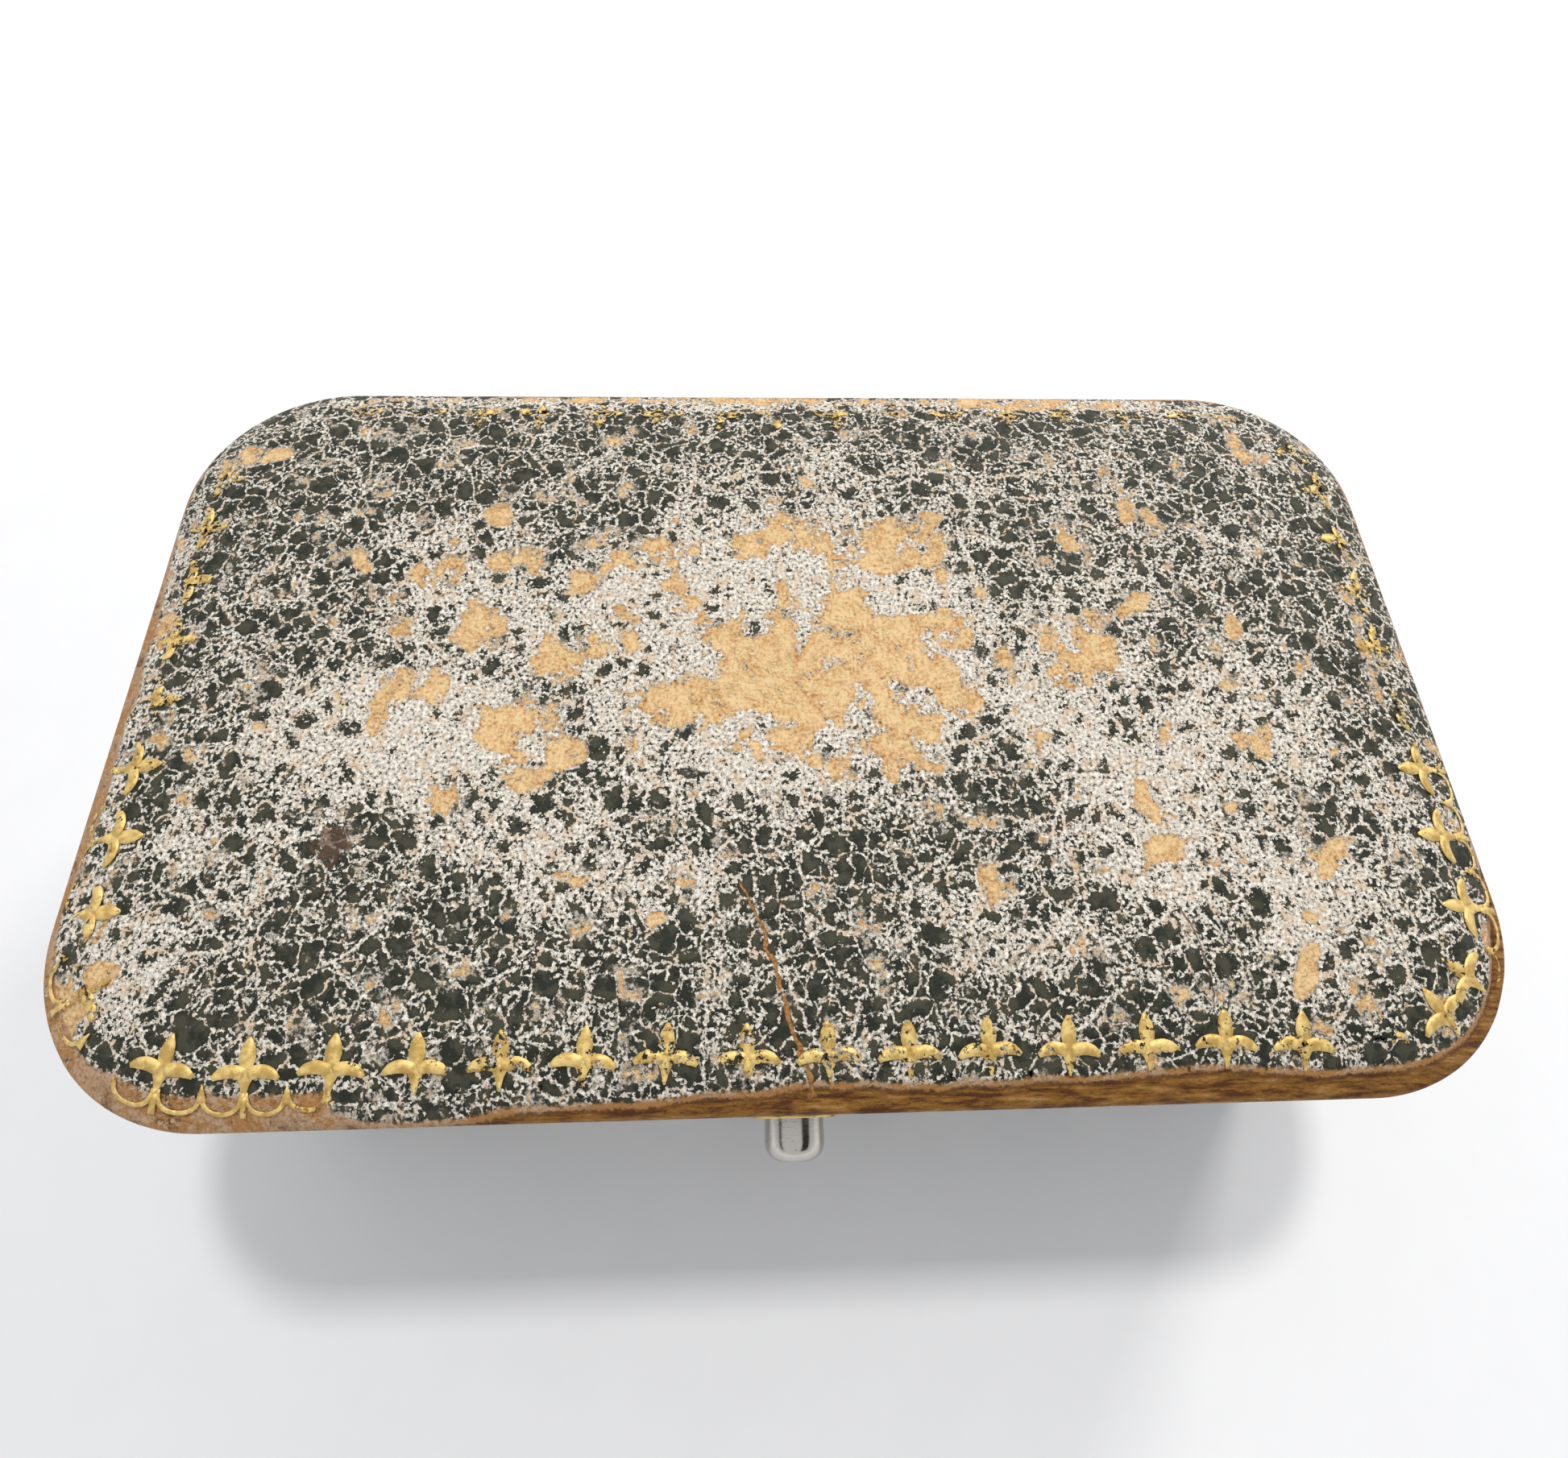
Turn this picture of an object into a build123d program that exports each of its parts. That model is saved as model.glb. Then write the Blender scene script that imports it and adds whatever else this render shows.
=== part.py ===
from build123d import *
import os
from math import radians, sqrt, tan

# A small hinged jewellery case: a leather-covered wooden base and lid, a long brass hinge along the back
# and a push-button catch in the middle of the front. Millimetres. +Z is up, the front faces -Y and the hinge
# is at +Y. The origin is the middle of the footprint, on the underside. The case is modelled closed.
#
# The lid turns about the hinge pin. The button slides inwards through its bush and tips the catch lever back
# about its pin, which draws the lever's nose off the striker plate in the lid's rim.

# ---- Driving dimensions -------------------------------------------------------------------------------------
case_width = 95.0
case_depth = 57.0
corner_radius = 12.0
seam_z = 20.0            # where lid and base part
shoulder_z = 30.0        # where the lid's wall turns over into its crowned top
crown = 2.6              # rise of the top above the shoulder
base_wall = 5.0          # wooden hoop of the base
lid_wall = 4.7           # wooden hoop of the lid, 0.3 thinner to clear the base's inner lip
leather = 0.6            # covering on the sides and top
rim_skin = 0.5           # leather strip on both rims, and the metal let into them
rim_gap = 0.2            # between the closed rims
underside_skin = 0.5
floor_thickness = 2.5
lid_board_z = 27.0       # underside of the lid's top board
top_leather_inset = 1.2  # the top leather stops this far in from the case's outline

# Inner lip, linings and pads
lip_card = 0.8
lip_velvet = 0.6
lip_rise = 2.0           # the lip stands this far above the base's rim
lip_cap = 0.3
tray_top_z = 11.5
tray_wall = 1.5
pad_top_z = 16.0
pad_side_gap = 0.2
pad_rounding = 1.5
brooch_slot = (24.0, 1.0, 3.0)    # length, width, depth
lining_skin = 0.4
lining_bottom_z = 22.7
lid_card = 0.8
satin_pad_depth = 1.8
satin_pad_gap = 0.3
satin_pad_rounding = 0.8

# Hinge
hinge_length = 58.0
knuckle_count = 5
hinge_axis_y = 26.9
knuckle_radius = 1.1
knuckle_room = 1.3       # radius cut in the wood and leather for the knuckles
hinge_pin_radius = 0.45
hinge_bore_radius = 0.5
leaf_front_y = 23.2
bevel_angle = 51.0       # each rim's slope behind the pin, so that the lid opens just past square
hinge_nail_y = 24.5
hinge_nail_xs = (-23.2, -11.6, 0.0, 11.6, 23.2)

# Push button and bush
button_z = 15.0
button_radius = 2.25
button_reach = 3.2       # how far it stands out of the leather
button_edge = 1.3        # rounding of its outer end
button_bore_radius = 2.3
bush_radius = 2.9
bush_flange_radius = 3.2
bush_flange = 0.25
button_collar_radius = 2.8
button_collar = 0.5
button_tip_radius = 0.8

# Catch in the front wall
pocket_half_width = 5.0
pocket_front_y = -26.9
pocket_floor_z = 4.0
lever_pivot = (-25.3, 5.5)        # y, z
lever_half_width = 2.4
lever_front_y = -25.9
lever_back_y = -25.1
lever_hub_radius = 1.2
lever_bore_radius = 0.65
pivot_pin_radius = 0.6
lever_top_z = 22.3
nose_tip_y = -27.0
nose_under_z = 20.7
nose_land = 0.4
lock_plate_skin = 0.6
lock_plate_half_width = 7.2
lock_plate_z = (4.2, 18.4)
lock_ear_x = (2.7, 3.5)
lock_ear_top_z = 7.0
lock_screw_x = 6.0
lock_screw_zs = (6.6, 15.8)
rim_plate_half_width = 7.5
rim_plate_front_y = -27.4
rim_slot_half_width = 2.9
rim_slot_front_y = -26.05
rim_slot_back_y = -23.5
rim_nail_x = 6.3
rim_nail_y = -25.2
leaf_spring_skin = 0.25
leaf_spring_half_width = 1.6
leaf_spring_foot_z = (8.8, 11.6)
leaf_spring_touch_z = 16.3
leaf_spring_tip_z = 17.3
spring_rivet_z = 10.2
touch_gap = 0.03         # between parts of different bodies that bear on each other

# Small fasteners: head radius, head depth, shank radius, shank length
rim_nail = (0.8, 0.25, 0.35, 3.2)
lock_screw = (0.95, 0.35, 0.45, 3.0)
screw_slot = (0.25, 0.15)         # width, depth

# ---- Worked out from those ----------------------------------------------------------------------------------
front_y = -case_depth / 2
base_inner = leather + base_wall
lid_inner = leather + lid_wall
lip_inner = base_inner + lip_card + lip_velvet
base_rim_z = seam_z - rim_gap / 2
base_wood_top_z = base_rim_z - rim_skin
lid_rim_z = seam_z + rim_gap / 2
lid_wood_bottom_z = lid_rim_z + rim_skin
floor_top_z = underside_skin + floor_thickness
lip_top_z = base_rim_z + lip_rise
lid_card_z = lid_board_z - lid_card
wall_inner_y = front_y + base_inner
knuckle_length = hinge_length / knuckle_count


# ---- Shapes that repeat -------------------------------------------------------------------------------------
def slab(inset, z0, z1):
    """The case's rounded outline, drawn in by inset, from z0 up to z1."""
    plan = RectangleRounded(case_width - 2 * inset, case_depth - 2 * inset, corner_radius - inset)
    return extrude(Plane.XY.offset(z0) * plan, z1 - z0)


def hoop(outer_inset, inner_inset, z0, z1):
    """A closed wall that follows the case's outline between two insets."""
    return slab(outer_inset, z0, z1) - slab(inner_inset, z0, z1)


def block(x0, x1, y0, y1, z0, z1):
    """A box between two corners."""
    return Pos(x0, y0, z0) * Box(x1 - x0, y1 - y0, z1 - z0, align=(Align.MIN, Align.MIN, Align.MIN))


def rod_x(radius, x0, x1, y, z):
    """A round bar along X."""
    upright = Cylinder(radius, x1 - x0, align=(Align.CENTER, Align.CENTER, Align.MIN))
    return Pos(x0, y, z) * Rot(0, 90, 0) * upright


def rod_y(radius, y0, y1, x, z):
    """A round bar along Y."""
    upright = Cylinder(radius, y1 - y0, align=(Align.CENTER, Align.CENTER, Align.MIN))
    return Pos(x, y0, z) * Rot(-90, 0, 0) * upright


def rod_z(radius, z0, z1, x, y):
    """A round bar along Z."""
    return Pos(x, y, z0) * Cylinder(radius, z1 - z0, align=(Align.CENTER, Align.CENTER, Align.MIN))


def bar_from_side(points, half_width):
    """A side outline of (y, z) points, given its width along X, centred on X = 0."""
    outline = make_face(Polyline([(0, y, z) for y, z in points], close=True))
    return extrude(outline, half_width, both=True, dir=(1, 0, 0))


def crown_profile(half, inset, z0, shoulder):
    """Upright outline of the lid's section, half wide each way: its ends are quarter ellipses up to the top."""
    run = corner_radius - inset
    top_z = shoulder + crown
    left = EllipticalCenterArc((-half + run, shoulder), run, crown, 90)
    right = EllipticalCenterArc((half - run, shoulder), run, crown)
    rest = Polyline((-half, shoulder), (-half, z0), (half, z0), (half, shoulder))
    return make_face([left, right, rest, Line((-half + run, top_z), (half - run, top_z))])


def crowned_slab(inset, z0, shoulder):
    """The outline drawn in by inset, from z0 up, with its top edge rounded over in a quarter ellipse."""
    half_width = case_width / 2 - inset
    half_depth = case_depth / 2 - inset
    run = corner_radius - inset
    across = Plane.XZ * crown_profile(half_width, inset, z0, shoulder)
    along = Plane.YZ * crown_profile(half_depth, inset, z0, shoulder)
    part = extrude(across, half_depth - run, both=True) + extrude(along, half_width - run, both=True)
    quarter = make_face([Polyline((0, shoulder + crown), (0, z0), (run, z0), (run, shoulder)),
                         EllipticalCenterArc((0, shoulder), run, crown)])
    turned = revolve(Plane.XZ * quarter, Axis.Z)
    for x in (-1, 1):
        for y in (-1, 1):
            part = part + Pos(x * (half_width - run), y * (half_depth - run), 0) * turned
    return part


def group(solids):
    """Separate solids as one node."""
    return Compound(children=list(solids))


def without(part, *tools):
    """The part with each tool cut away."""
    for tool in tools:
        part = part - tool
    return part


# ---- Cuts shared by several pieces --------------------------------------------------------------------------
def back_bevel(side):
    """The wedge behind the hinge pin that lets the rims swing apart: side is -1 for the base, 1 for the lid."""
    reach = case_depth
    apex = (hinge_axis_y, seam_z)
    along = (hinge_axis_y + reach, seam_z)
    away = (hinge_axis_y + reach, seam_z + side * reach * tan(radians(bevel_angle)))
    return bar_from_side([apex, along, away], case_width)


def knuckle_bed():
    """The round groove that the hinge's knuckles turn in."""
    half = hinge_length / 2 + 0.6
    return rod_x(knuckle_room, -half, half, hinge_axis_y, seam_z)


def leaf_blank(z0):
    """One hinge leaf before its knuckles are added."""
    return block(-hinge_length / 2, hinge_length / 2, leaf_front_y, hinge_axis_y, z0, z0 + rim_skin)


def rim_plate_blank(z0, back_y):
    """The metal plate let into a rim at the catch."""
    return block(-rim_plate_half_width, rim_plate_half_width, rim_plate_front_y, back_y, z0, z0 + rim_skin)


def rim_slot(z0, back_y):
    """The slot in a rim plate for the catch lever."""
    return block(-rim_slot_half_width, rim_slot_half_width, rim_slot_front_y, back_y, z0, z0 + rim_skin)


def rim_nails(places, face_z, side):
    """Flush nails through a rim: side is -1 for nails driven down into the base, 1 for up into the lid."""
    head_radius, head_depth, shank_radius, shank_length = rim_nail
    nails = []
    for x, y in places:
        head_end = face_z + side * head_depth
        shank_end = head_end + side * shank_length
        head = rod_z(head_radius, min(face_z, head_end), max(face_z, head_end), x, y)
        shank = rod_z(shank_radius, min(head_end, shank_end), max(head_end, shank_end), x, y)
        nails.append(head + shank)
    return group(nails)


def hinge_nails(face_z, side):
    return rim_nails([(x, hinge_nail_y) for x in hinge_nail_xs], face_z, side)


def catch_nails(face_z, side):
    return rim_nails([(-rim_nail_x, rim_nail_y), (rim_nail_x, rim_nail_y)], face_z, side)


def lock_screws():
    """Slotted screws that hold the lock plate to the inside of the front wall."""
    head_radius, head_depth, shank_radius, shank_length = lock_screw
    slot_width, slot_depth = screw_slot
    face_y = wall_inner_y + lock_plate_skin
    screws = []
    for x in (-lock_screw_x, lock_screw_x):
        for z in lock_screw_zs:
            head = rod_y(head_radius, face_y - head_depth, face_y, x, z)
            shank = rod_y(shank_radius, face_y - head_depth - shank_length, face_y - head_depth, x, z)
            slot = block(x - head_radius, x + head_radius, face_y - slot_depth, face_y,
                         z - slot_width / 2, z + slot_width / 2)
            screws.append(head + shank - slot)
    return group(screws)


def lock_screw_holes():
    """The screws without their slots, for cutting their seats."""
    head_radius, head_depth, shank_radius, shank_length = lock_screw
    face_y = wall_inner_y + lock_plate_skin
    holes = []
    for x in (-lock_screw_x, lock_screw_x):
        for z in lock_screw_zs:
            holes.append(rod_y(head_radius, face_y - head_depth, face_y, x, z))
            holes.append(rod_y(shank_radius, face_y - head_depth - shank_length, face_y - head_depth, x, z))
    return holes


# ---- Base ---------------------------------------------------------------------------------------------------
def base_hoop():
    pocket = block(-pocket_half_width, pocket_half_width, pocket_front_y, wall_inner_y,
                   pocket_floor_z, base_wood_top_z)
    bush_hole = rod_y(bush_radius, front_y, pocket_front_y, 0, button_z)
    part = hoop(leather, base_inner, underside_skin, base_wood_top_z)
    part = without(part, pocket, bush_hole, back_bevel(-1), knuckle_bed(), *lock_screw_holes())
    return without(part, *hinge_nails(base_rim_z, -1).solids(), *catch_nails(base_rim_z, -1).solids())


def base_floor():
    return slab(base_inner, underside_skin, floor_top_z)


def base_underside_cover():
    return slab(0, 0, underside_skin)


def base_side_leather():
    part = hoop(0, leather, underside_skin, base_wood_top_z)
    return without(part, rod_y(bush_radius, front_y - 1, pocket_front_y, 0, button_z), back_bevel(-1))


def base_rim_leather():
    part = hoop(0, base_inner, base_wood_top_z, base_rim_z)
    return without(part, leaf_blank(base_wood_top_z), rim_plate_blank(base_wood_top_z, wall_inner_y),
                   back_bevel(-1), knuckle_bed())


def base_lip_card():
    """Card wall inside the hoop, standing above the rim to centre the lid, with a notch for the lock plate."""
    part = hoop(base_inner, base_inner + lip_card, floor_top_z, lip_top_z)
    notch = block(-lock_plate_half_width - 0.2, lock_plate_half_width + 0.2, wall_inner_y - 1,
                  wall_inner_y + lip_card, floor_top_z, lock_plate_z[1] + 0.2)
    return part - notch


def base_lip_velvet():
    """Velvet on the card wall, turned over its top edge."""
    face = hoop(base_inner + lip_card, lip_inner, floor_top_z, lip_top_z)
    return face + hoop(base_inner, lip_inner, lip_top_z, lip_top_z + lip_cap)


def pad_tray():
    """Upturned card tray that carries the velvet pad."""
    return slab(lip_inner, floor_top_z, tray_top_z) - slab(lip_inner + tray_wall, floor_top_z,
                                                           tray_top_z - tray_wall)


def velvet_pad():
    pad = slab(lip_inner + pad_side_gap, tray_top_z, pad_top_z)
    pad = fillet(pad.edges().group_by(Axis.Z)[-1], pad_rounding)
    length, width, depth = brooch_slot
    return pad - block(-length / 2, length / 2, -width / 2, width / 2, pad_top_z - depth, pad_top_z)


# ---- Hinge --------------------------------------------------------------------------------------------------
def knuckles(indices, radius):
    """Round bars in place of the knuckles with these indices, counted along X."""
    start = -hinge_length / 2
    return [rod_x(radius, start + i * knuckle_length, start + (i + 1) * knuckle_length, hinge_axis_y, seam_z)
            for i in indices]


def hinge_leaf(own, other, z0, side, face_z, bore_radius):
    """A leaf with its own knuckles, cut clear of the other leaf's."""
    part = without(leaf_blank(z0), *knuckles(other, knuckle_room))
    for barrel in knuckles(own, knuckle_radius):
        part = part + barrel
    part = part - rod_x(bore_radius, -hinge_length / 2, hinge_length / 2, hinge_axis_y, seam_z)
    slack = touch_gap / 2
    for i in range(1, knuckle_count):
        joint_x = -hinge_length / 2 + i * knuckle_length
        part = part - rod_x(knuckle_radius, joint_x - slack, joint_x + slack, hinge_axis_y, seam_z)
    return without(part, *hinge_nails(face_z, side).solids())


def hinge_base_leaf():
    """The leaf whose knuckles grip the pin."""
    own = range(0, knuckle_count, 2)
    other = range(1, knuckle_count, 2)
    return hinge_leaf(own, other, base_wood_top_z, -1, base_rim_z, hinge_pin_radius)


def hinge_lid_leaf():
    """The leaf whose knuckles turn on the pin."""
    own = range(1, knuckle_count, 2)
    other = range(0, knuckle_count, 2)
    return hinge_leaf(own, other, lid_rim_z, 1, lid_rim_z, hinge_bore_radius)


def hinge_pin():
    half = hinge_length / 2 + 0.3
    return rod_x(hinge_pin_radius, -half, half, hinge_axis_y, seam_z)


# ---- Push button and catch ----------------------------------------------------------------------------------
def button_bush():
    tube = rod_y(bush_radius, front_y, pocket_front_y, 0, button_z)
    flange = rod_y(bush_flange_radius, front_y - bush_flange, front_y, 0, button_z)
    flange = fillet(flange.edges().group_by(Axis.Y)[0], bush_flange * 0.6)
    return tube + flange - rod_y(button_bore_radius, front_y - bush_flange, pocket_front_y, 0, button_z)


def push_button():
    """Round-edged button with a collar behind the bush and a tip that bears on the lever."""
    collar_front = pocket_front_y + touch_gap
    shank = rod_y(button_radius, front_y - button_reach, collar_front, 0, button_z)
    shank = fillet(shank.edges().group_by(Axis.Y)[0], button_edge)
    collar = rod_y(button_collar_radius, collar_front, collar_front + button_collar, 0, button_z)
    tip = rod_y(button_tip_radius, collar_front + button_collar, lever_front_y - touch_gap, 0, button_z)
    return shank + collar + tip


def catch_lever():
    """Hooked lever: its nose holds the striker plate down until the button tips it back."""
    arm = bar_from_side([
        (lever_back_y, lever_pivot[1]),
        (lever_back_y, lever_top_z),
        (lever_front_y + 0.2, lever_top_z),
        (nose_tip_y, nose_under_z + nose_land),
        (nose_tip_y, nose_under_z),
        (lever_front_y, nose_under_z),
        (lever_front_y, lever_pivot[1]),
    ], lever_half_width)
    hub = rod_x(lever_hub_radius, -lever_half_width, lever_half_width, *lever_pivot)
    return arm + hub - rod_x(lever_bore_radius, -lever_half_width, lever_half_width, *lever_pivot)


def lock_plate():
    """Brass plate inside the front wall, with two ears that carry the lever's pin."""
    z0, z1 = lock_plate_z
    part = block(-lock_plate_half_width, lock_plate_half_width, wall_inner_y,
                 wall_inner_y + lock_plate_skin, z0, z1)
    ear_near, ear_far = lock_ear_x
    for side in (-1, 1):
        x0, x1 = sorted((side * ear_near, side * ear_far))
        part = part + block(x0, x1, lever_pivot[0] - lever_hub_radius, wall_inner_y, z0, lock_ear_top_z)
    part = part - rod_x(pivot_pin_radius, -ear_far, ear_far, *lever_pivot)
    rivet_hole = rod_y(0.5, wall_inner_y, wall_inner_y + lock_plate_skin, 0, spring_rivet_z)
    return without(part, rivet_hole, *lock_screw_holes())


def catch_pivot_pin():
    ear_far = lock_ear_x[1]
    return rod_x(pivot_pin_radius, -ear_far - 0.3, ear_far + 0.3, *lever_pivot)


def catch_spring():
    """Leaf spring from the lock plate up to the lever's back."""
    foot_z0, foot_z1 = leaf_spring_foot_z
    foot_y = wall_inner_y - leaf_spring_skin / 2
    touch_y = lever_back_y + touch_gap + leaf_spring_skin / 2
    spine = [(foot_y, foot_z0), (foot_y, foot_z1), (touch_y, leaf_spring_touch_z),
             (touch_y + 0.35, leaf_spring_tip_z)]
    half = leaf_spring_skin / 2
    front = [(y - half, z) for y, z in spine]
    back = [(y + half, z) for y, z in reversed(spine)]
    strip = bar_from_side(front + back, leaf_spring_half_width)
    return strip - rod_y(0.5, foot_y - 1, foot_y + 1, 0, spring_rivet_z)


def spring_rivet():
    back_y = wall_inner_y - leaf_spring_skin
    head = rod_y(0.9, back_y - 0.3, back_y, 0, spring_rivet_z)
    return head + rod_y(0.5, back_y, wall_inner_y + lock_plate_skin, 0, spring_rivet_z)


def catch_rim_plate():
    part = rim_plate_blank(base_wood_top_z, wall_inner_y) - rim_slot(base_wood_top_z, rim_slot_back_y)
    return without(part, *catch_nails(base_rim_z, -1).solids())


def striker_plate():
    part = rim_plate_blank(lid_rim_z, front_y + lid_inner) - rim_slot(lid_rim_z, rim_slot_back_y)
    return without(part, *catch_nails(lid_rim_z, 1).solids())


# ---- Lid ----------------------------------------------------------------------------------------------------
def lid_hoop():
    nose_room = block(-rim_slot_half_width - 0.3, rim_slot_half_width + 0.3, nose_tip_y - 0.3,
                      front_y + lid_inner, lid_wood_bottom_z, lever_top_z + 0.6)
    part = hoop(leather, lid_inner, lid_wood_bottom_z, lid_board_z)
    part = without(part, nose_room, back_bevel(1), knuckle_bed())
    return without(part, *hinge_nails(lid_rim_z, 1).solids(), *catch_nails(lid_rim_z, 1).solids())


def lid_top_board():
    return crowned_slab(leather, lid_board_z, shoulder_z - leather)


def lid_skin():
    """The whole leather covering of the lid, before it is parted into side and top."""
    wood = slab(leather, lid_wood_bottom_z, lid_board_z) + lid_top_board()
    return crowned_slab(0, lid_wood_bottom_z, shoulder_z) - wood


def skin_parting_z():
    """Height at which the top leather ends and the side leather, turned over the edge, begins."""
    return shoulder_z + crown * sqrt(1 - (1 - top_leather_inset / corner_radius) ** 2)


def lid_side_leather():
    above = slab(-1, skin_parting_z(), shoulder_z + crown + 1)
    return lid_skin() - above - back_bevel(1)


def lid_top_leather():
    below = slab(-1, lid_rim_z, skin_parting_z())
    return lid_skin() - below


def lid_rim_leather():
    part = hoop(0, lid_inner, lid_rim_z, lid_wood_bottom_z)
    return without(part, leaf_blank(lid_rim_z), rim_plate_blank(lid_rim_z, front_y + lid_inner),
                   back_bevel(1), knuckle_bed())


def lid_wall_lining():
    return hoop(lid_inner, lid_inner + lining_skin, lining_bottom_z, lid_card_z)


def lid_pad_card():
    return slab(lid_inner, lid_card_z, lid_board_z)


def lid_satin_pad():
    inset = lid_inner + lining_skin + satin_pad_gap
    pad = slab(inset, lid_card_z - satin_pad_depth, lid_card_z)
    return fillet(pad.edges().group_by(Axis.Z)[0], satin_pad_rounding)


# ---- Write every piece --------------------------------------------------------------------------------------
pieces = {
    "base_hoop": base_hoop,
    "base_floor": base_floor,
    "base_underside_cover": base_underside_cover,
    "base_side_leather": base_side_leather,
    "base_rim_leather": base_rim_leather,
    "base_lip_card": base_lip_card,
    "base_lip_velvet": base_lip_velvet,
    "pad_tray": pad_tray,
    "velvet_pad": velvet_pad,
    "hinge_base_leaf": hinge_base_leaf,
    "hinge_base_nails": lambda: hinge_nails(base_rim_z, -1),
    "hinge_pin": hinge_pin,
    "button_bush": button_bush,
    "push_button": push_button,
    "catch_lever": catch_lever,
    "catch_pivot_pin": catch_pivot_pin,
    "catch_spring": catch_spring,
    "spring_rivet": spring_rivet,
    "lock_plate": lock_plate,
    "lock_plate_screws": lock_screws,
    "catch_rim_plate": catch_rim_plate,
    "catch_rim_nails": lambda: catch_nails(base_rim_z, -1),
    "hinge_lid_leaf": hinge_lid_leaf,
    "hinge_lid_nails": lambda: hinge_nails(lid_rim_z, 1),
    "striker_plate": striker_plate,
    "striker_nails": lambda: catch_nails(lid_rim_z, 1),
    "lid_hoop": lid_hoop,
    "lid_top_board": lid_top_board,
    "lid_side_leather": lid_side_leather,
    "lid_top_leather": lid_top_leather,
    "lid_rim_leather": lid_rim_leather,
    "lid_wall_lining": lid_wall_lining,
    "lid_pad_card": lid_pad_card,
    "lid_satin_pad": lid_satin_pad,
}

os.makedirs("parts", exist_ok=True)
for name, build in pieces.items():
    export_step(build(), f"parts/{name}.step")
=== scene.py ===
"""A worn jewellery case: leather over wood, a gilt-tooled lid, a rear hinge and a push-button catch.

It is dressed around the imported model, in that model's frame: metres, +Z up, the button facing -Y. A name that
ends in _mm is in millimetres, and so are the shapes that the classes work out before they make a mesh.
"""

import logging
import math
from collections.abc import Iterable, Sequence
from dataclasses import dataclass, field
from enum import Enum

import bpy
import numpy as np
from mathutils import Matrix, Vector


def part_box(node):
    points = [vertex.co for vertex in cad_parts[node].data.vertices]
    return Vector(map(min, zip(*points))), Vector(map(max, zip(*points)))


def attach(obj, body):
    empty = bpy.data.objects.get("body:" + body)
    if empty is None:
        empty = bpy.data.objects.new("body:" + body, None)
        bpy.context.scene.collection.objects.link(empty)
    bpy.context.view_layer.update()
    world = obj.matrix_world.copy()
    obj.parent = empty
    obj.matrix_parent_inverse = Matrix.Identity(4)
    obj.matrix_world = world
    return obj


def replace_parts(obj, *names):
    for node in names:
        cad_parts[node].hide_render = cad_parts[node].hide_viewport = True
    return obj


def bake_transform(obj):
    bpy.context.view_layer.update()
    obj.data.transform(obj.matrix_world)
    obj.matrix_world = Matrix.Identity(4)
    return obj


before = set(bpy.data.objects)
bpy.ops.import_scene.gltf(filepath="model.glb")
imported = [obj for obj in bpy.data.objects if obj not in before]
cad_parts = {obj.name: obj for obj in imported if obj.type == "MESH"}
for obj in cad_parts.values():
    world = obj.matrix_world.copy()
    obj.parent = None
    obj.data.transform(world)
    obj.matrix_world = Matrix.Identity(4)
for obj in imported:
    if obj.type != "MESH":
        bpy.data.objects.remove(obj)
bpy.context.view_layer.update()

MM = 0.001
CORNER_RADIUS_MM = 12.0
SHOULDER_MM = 30.0
CROWN_RISE_MM = 2.6
LID_LEATHER_BOTTOM_MM = 20.6
SEAM_MM = 20.0
HINGE_AXIS_Y_MM = 26.9
BEVEL_SLOPE = math.tan(math.radians(51.0))

Colour = tuple[float, float, float]
log = logging.getLogger("jewellery_case")


# ---- Shader graphs ------------------------------------------------------------------------------------------
class Wire:
    """One value in a shader. Arithmetic on it adds Math nodes to its graph."""

    def __init__(self, graph: "Graph", socket: bpy.types.NodeSocket) -> None:
        """Keep the graph and the output socket that carries the value."""
        self.graph = graph
        self.socket = socket

    def _math(self, operation: str, *operands: "Value") -> "Wire":
        """Add one Math node."""
        return self.graph.node("ShaderNodeMath", {"operation": operation}, dict(enumerate(operands)))

    def __add__(self, other: "Value") -> "Wire":
        """Sum."""
        return self._math("ADD", self, other)

    def __sub__(self, other: "Value") -> "Wire":
        """Difference."""
        return self._math("SUBTRACT", self, other)

    def __rsub__(self, other: "Value") -> "Wire":
        """Difference from a number."""
        return self._math("SUBTRACT", other, self)

    def __mul__(self, other: "Value") -> "Wire":
        """Product."""
        return self._math("MULTIPLY", self, other)

    def __truediv__(self, other: "Value") -> "Wire":
        """Quotient."""
        return self._math("DIVIDE", self, other)

    def __abs__(self) -> "Wire":
        """Size without sign."""
        return self._math("ABSOLUTE", self)

    __radd__ = __add__
    __rmul__ = __mul__

    def most(self, other: "Value") -> "Wire":
        """The larger of two values."""
        return self._math("MAXIMUM", self, other)

    def least(self, other: "Value") -> "Wire":
        """The smaller of two values."""
        return self._math("MINIMUM", self, other)

    def sine(self) -> "Wire":
        """Sine of an angle in radians."""
        return self._math("SINE", self)

    def step(self, low: "Value", high: "Value") -> "Wire":
        """Smooth rise from 0 at low to 1 at high. A fall is written with low above high."""
        sockets = {0: self, 1: low, 2: high}
        return self.graph.node("ShaderNodeMapRange", {"interpolation_type": "SMOOTHSTEP"}, sockets)


Value = Wire | float


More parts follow.
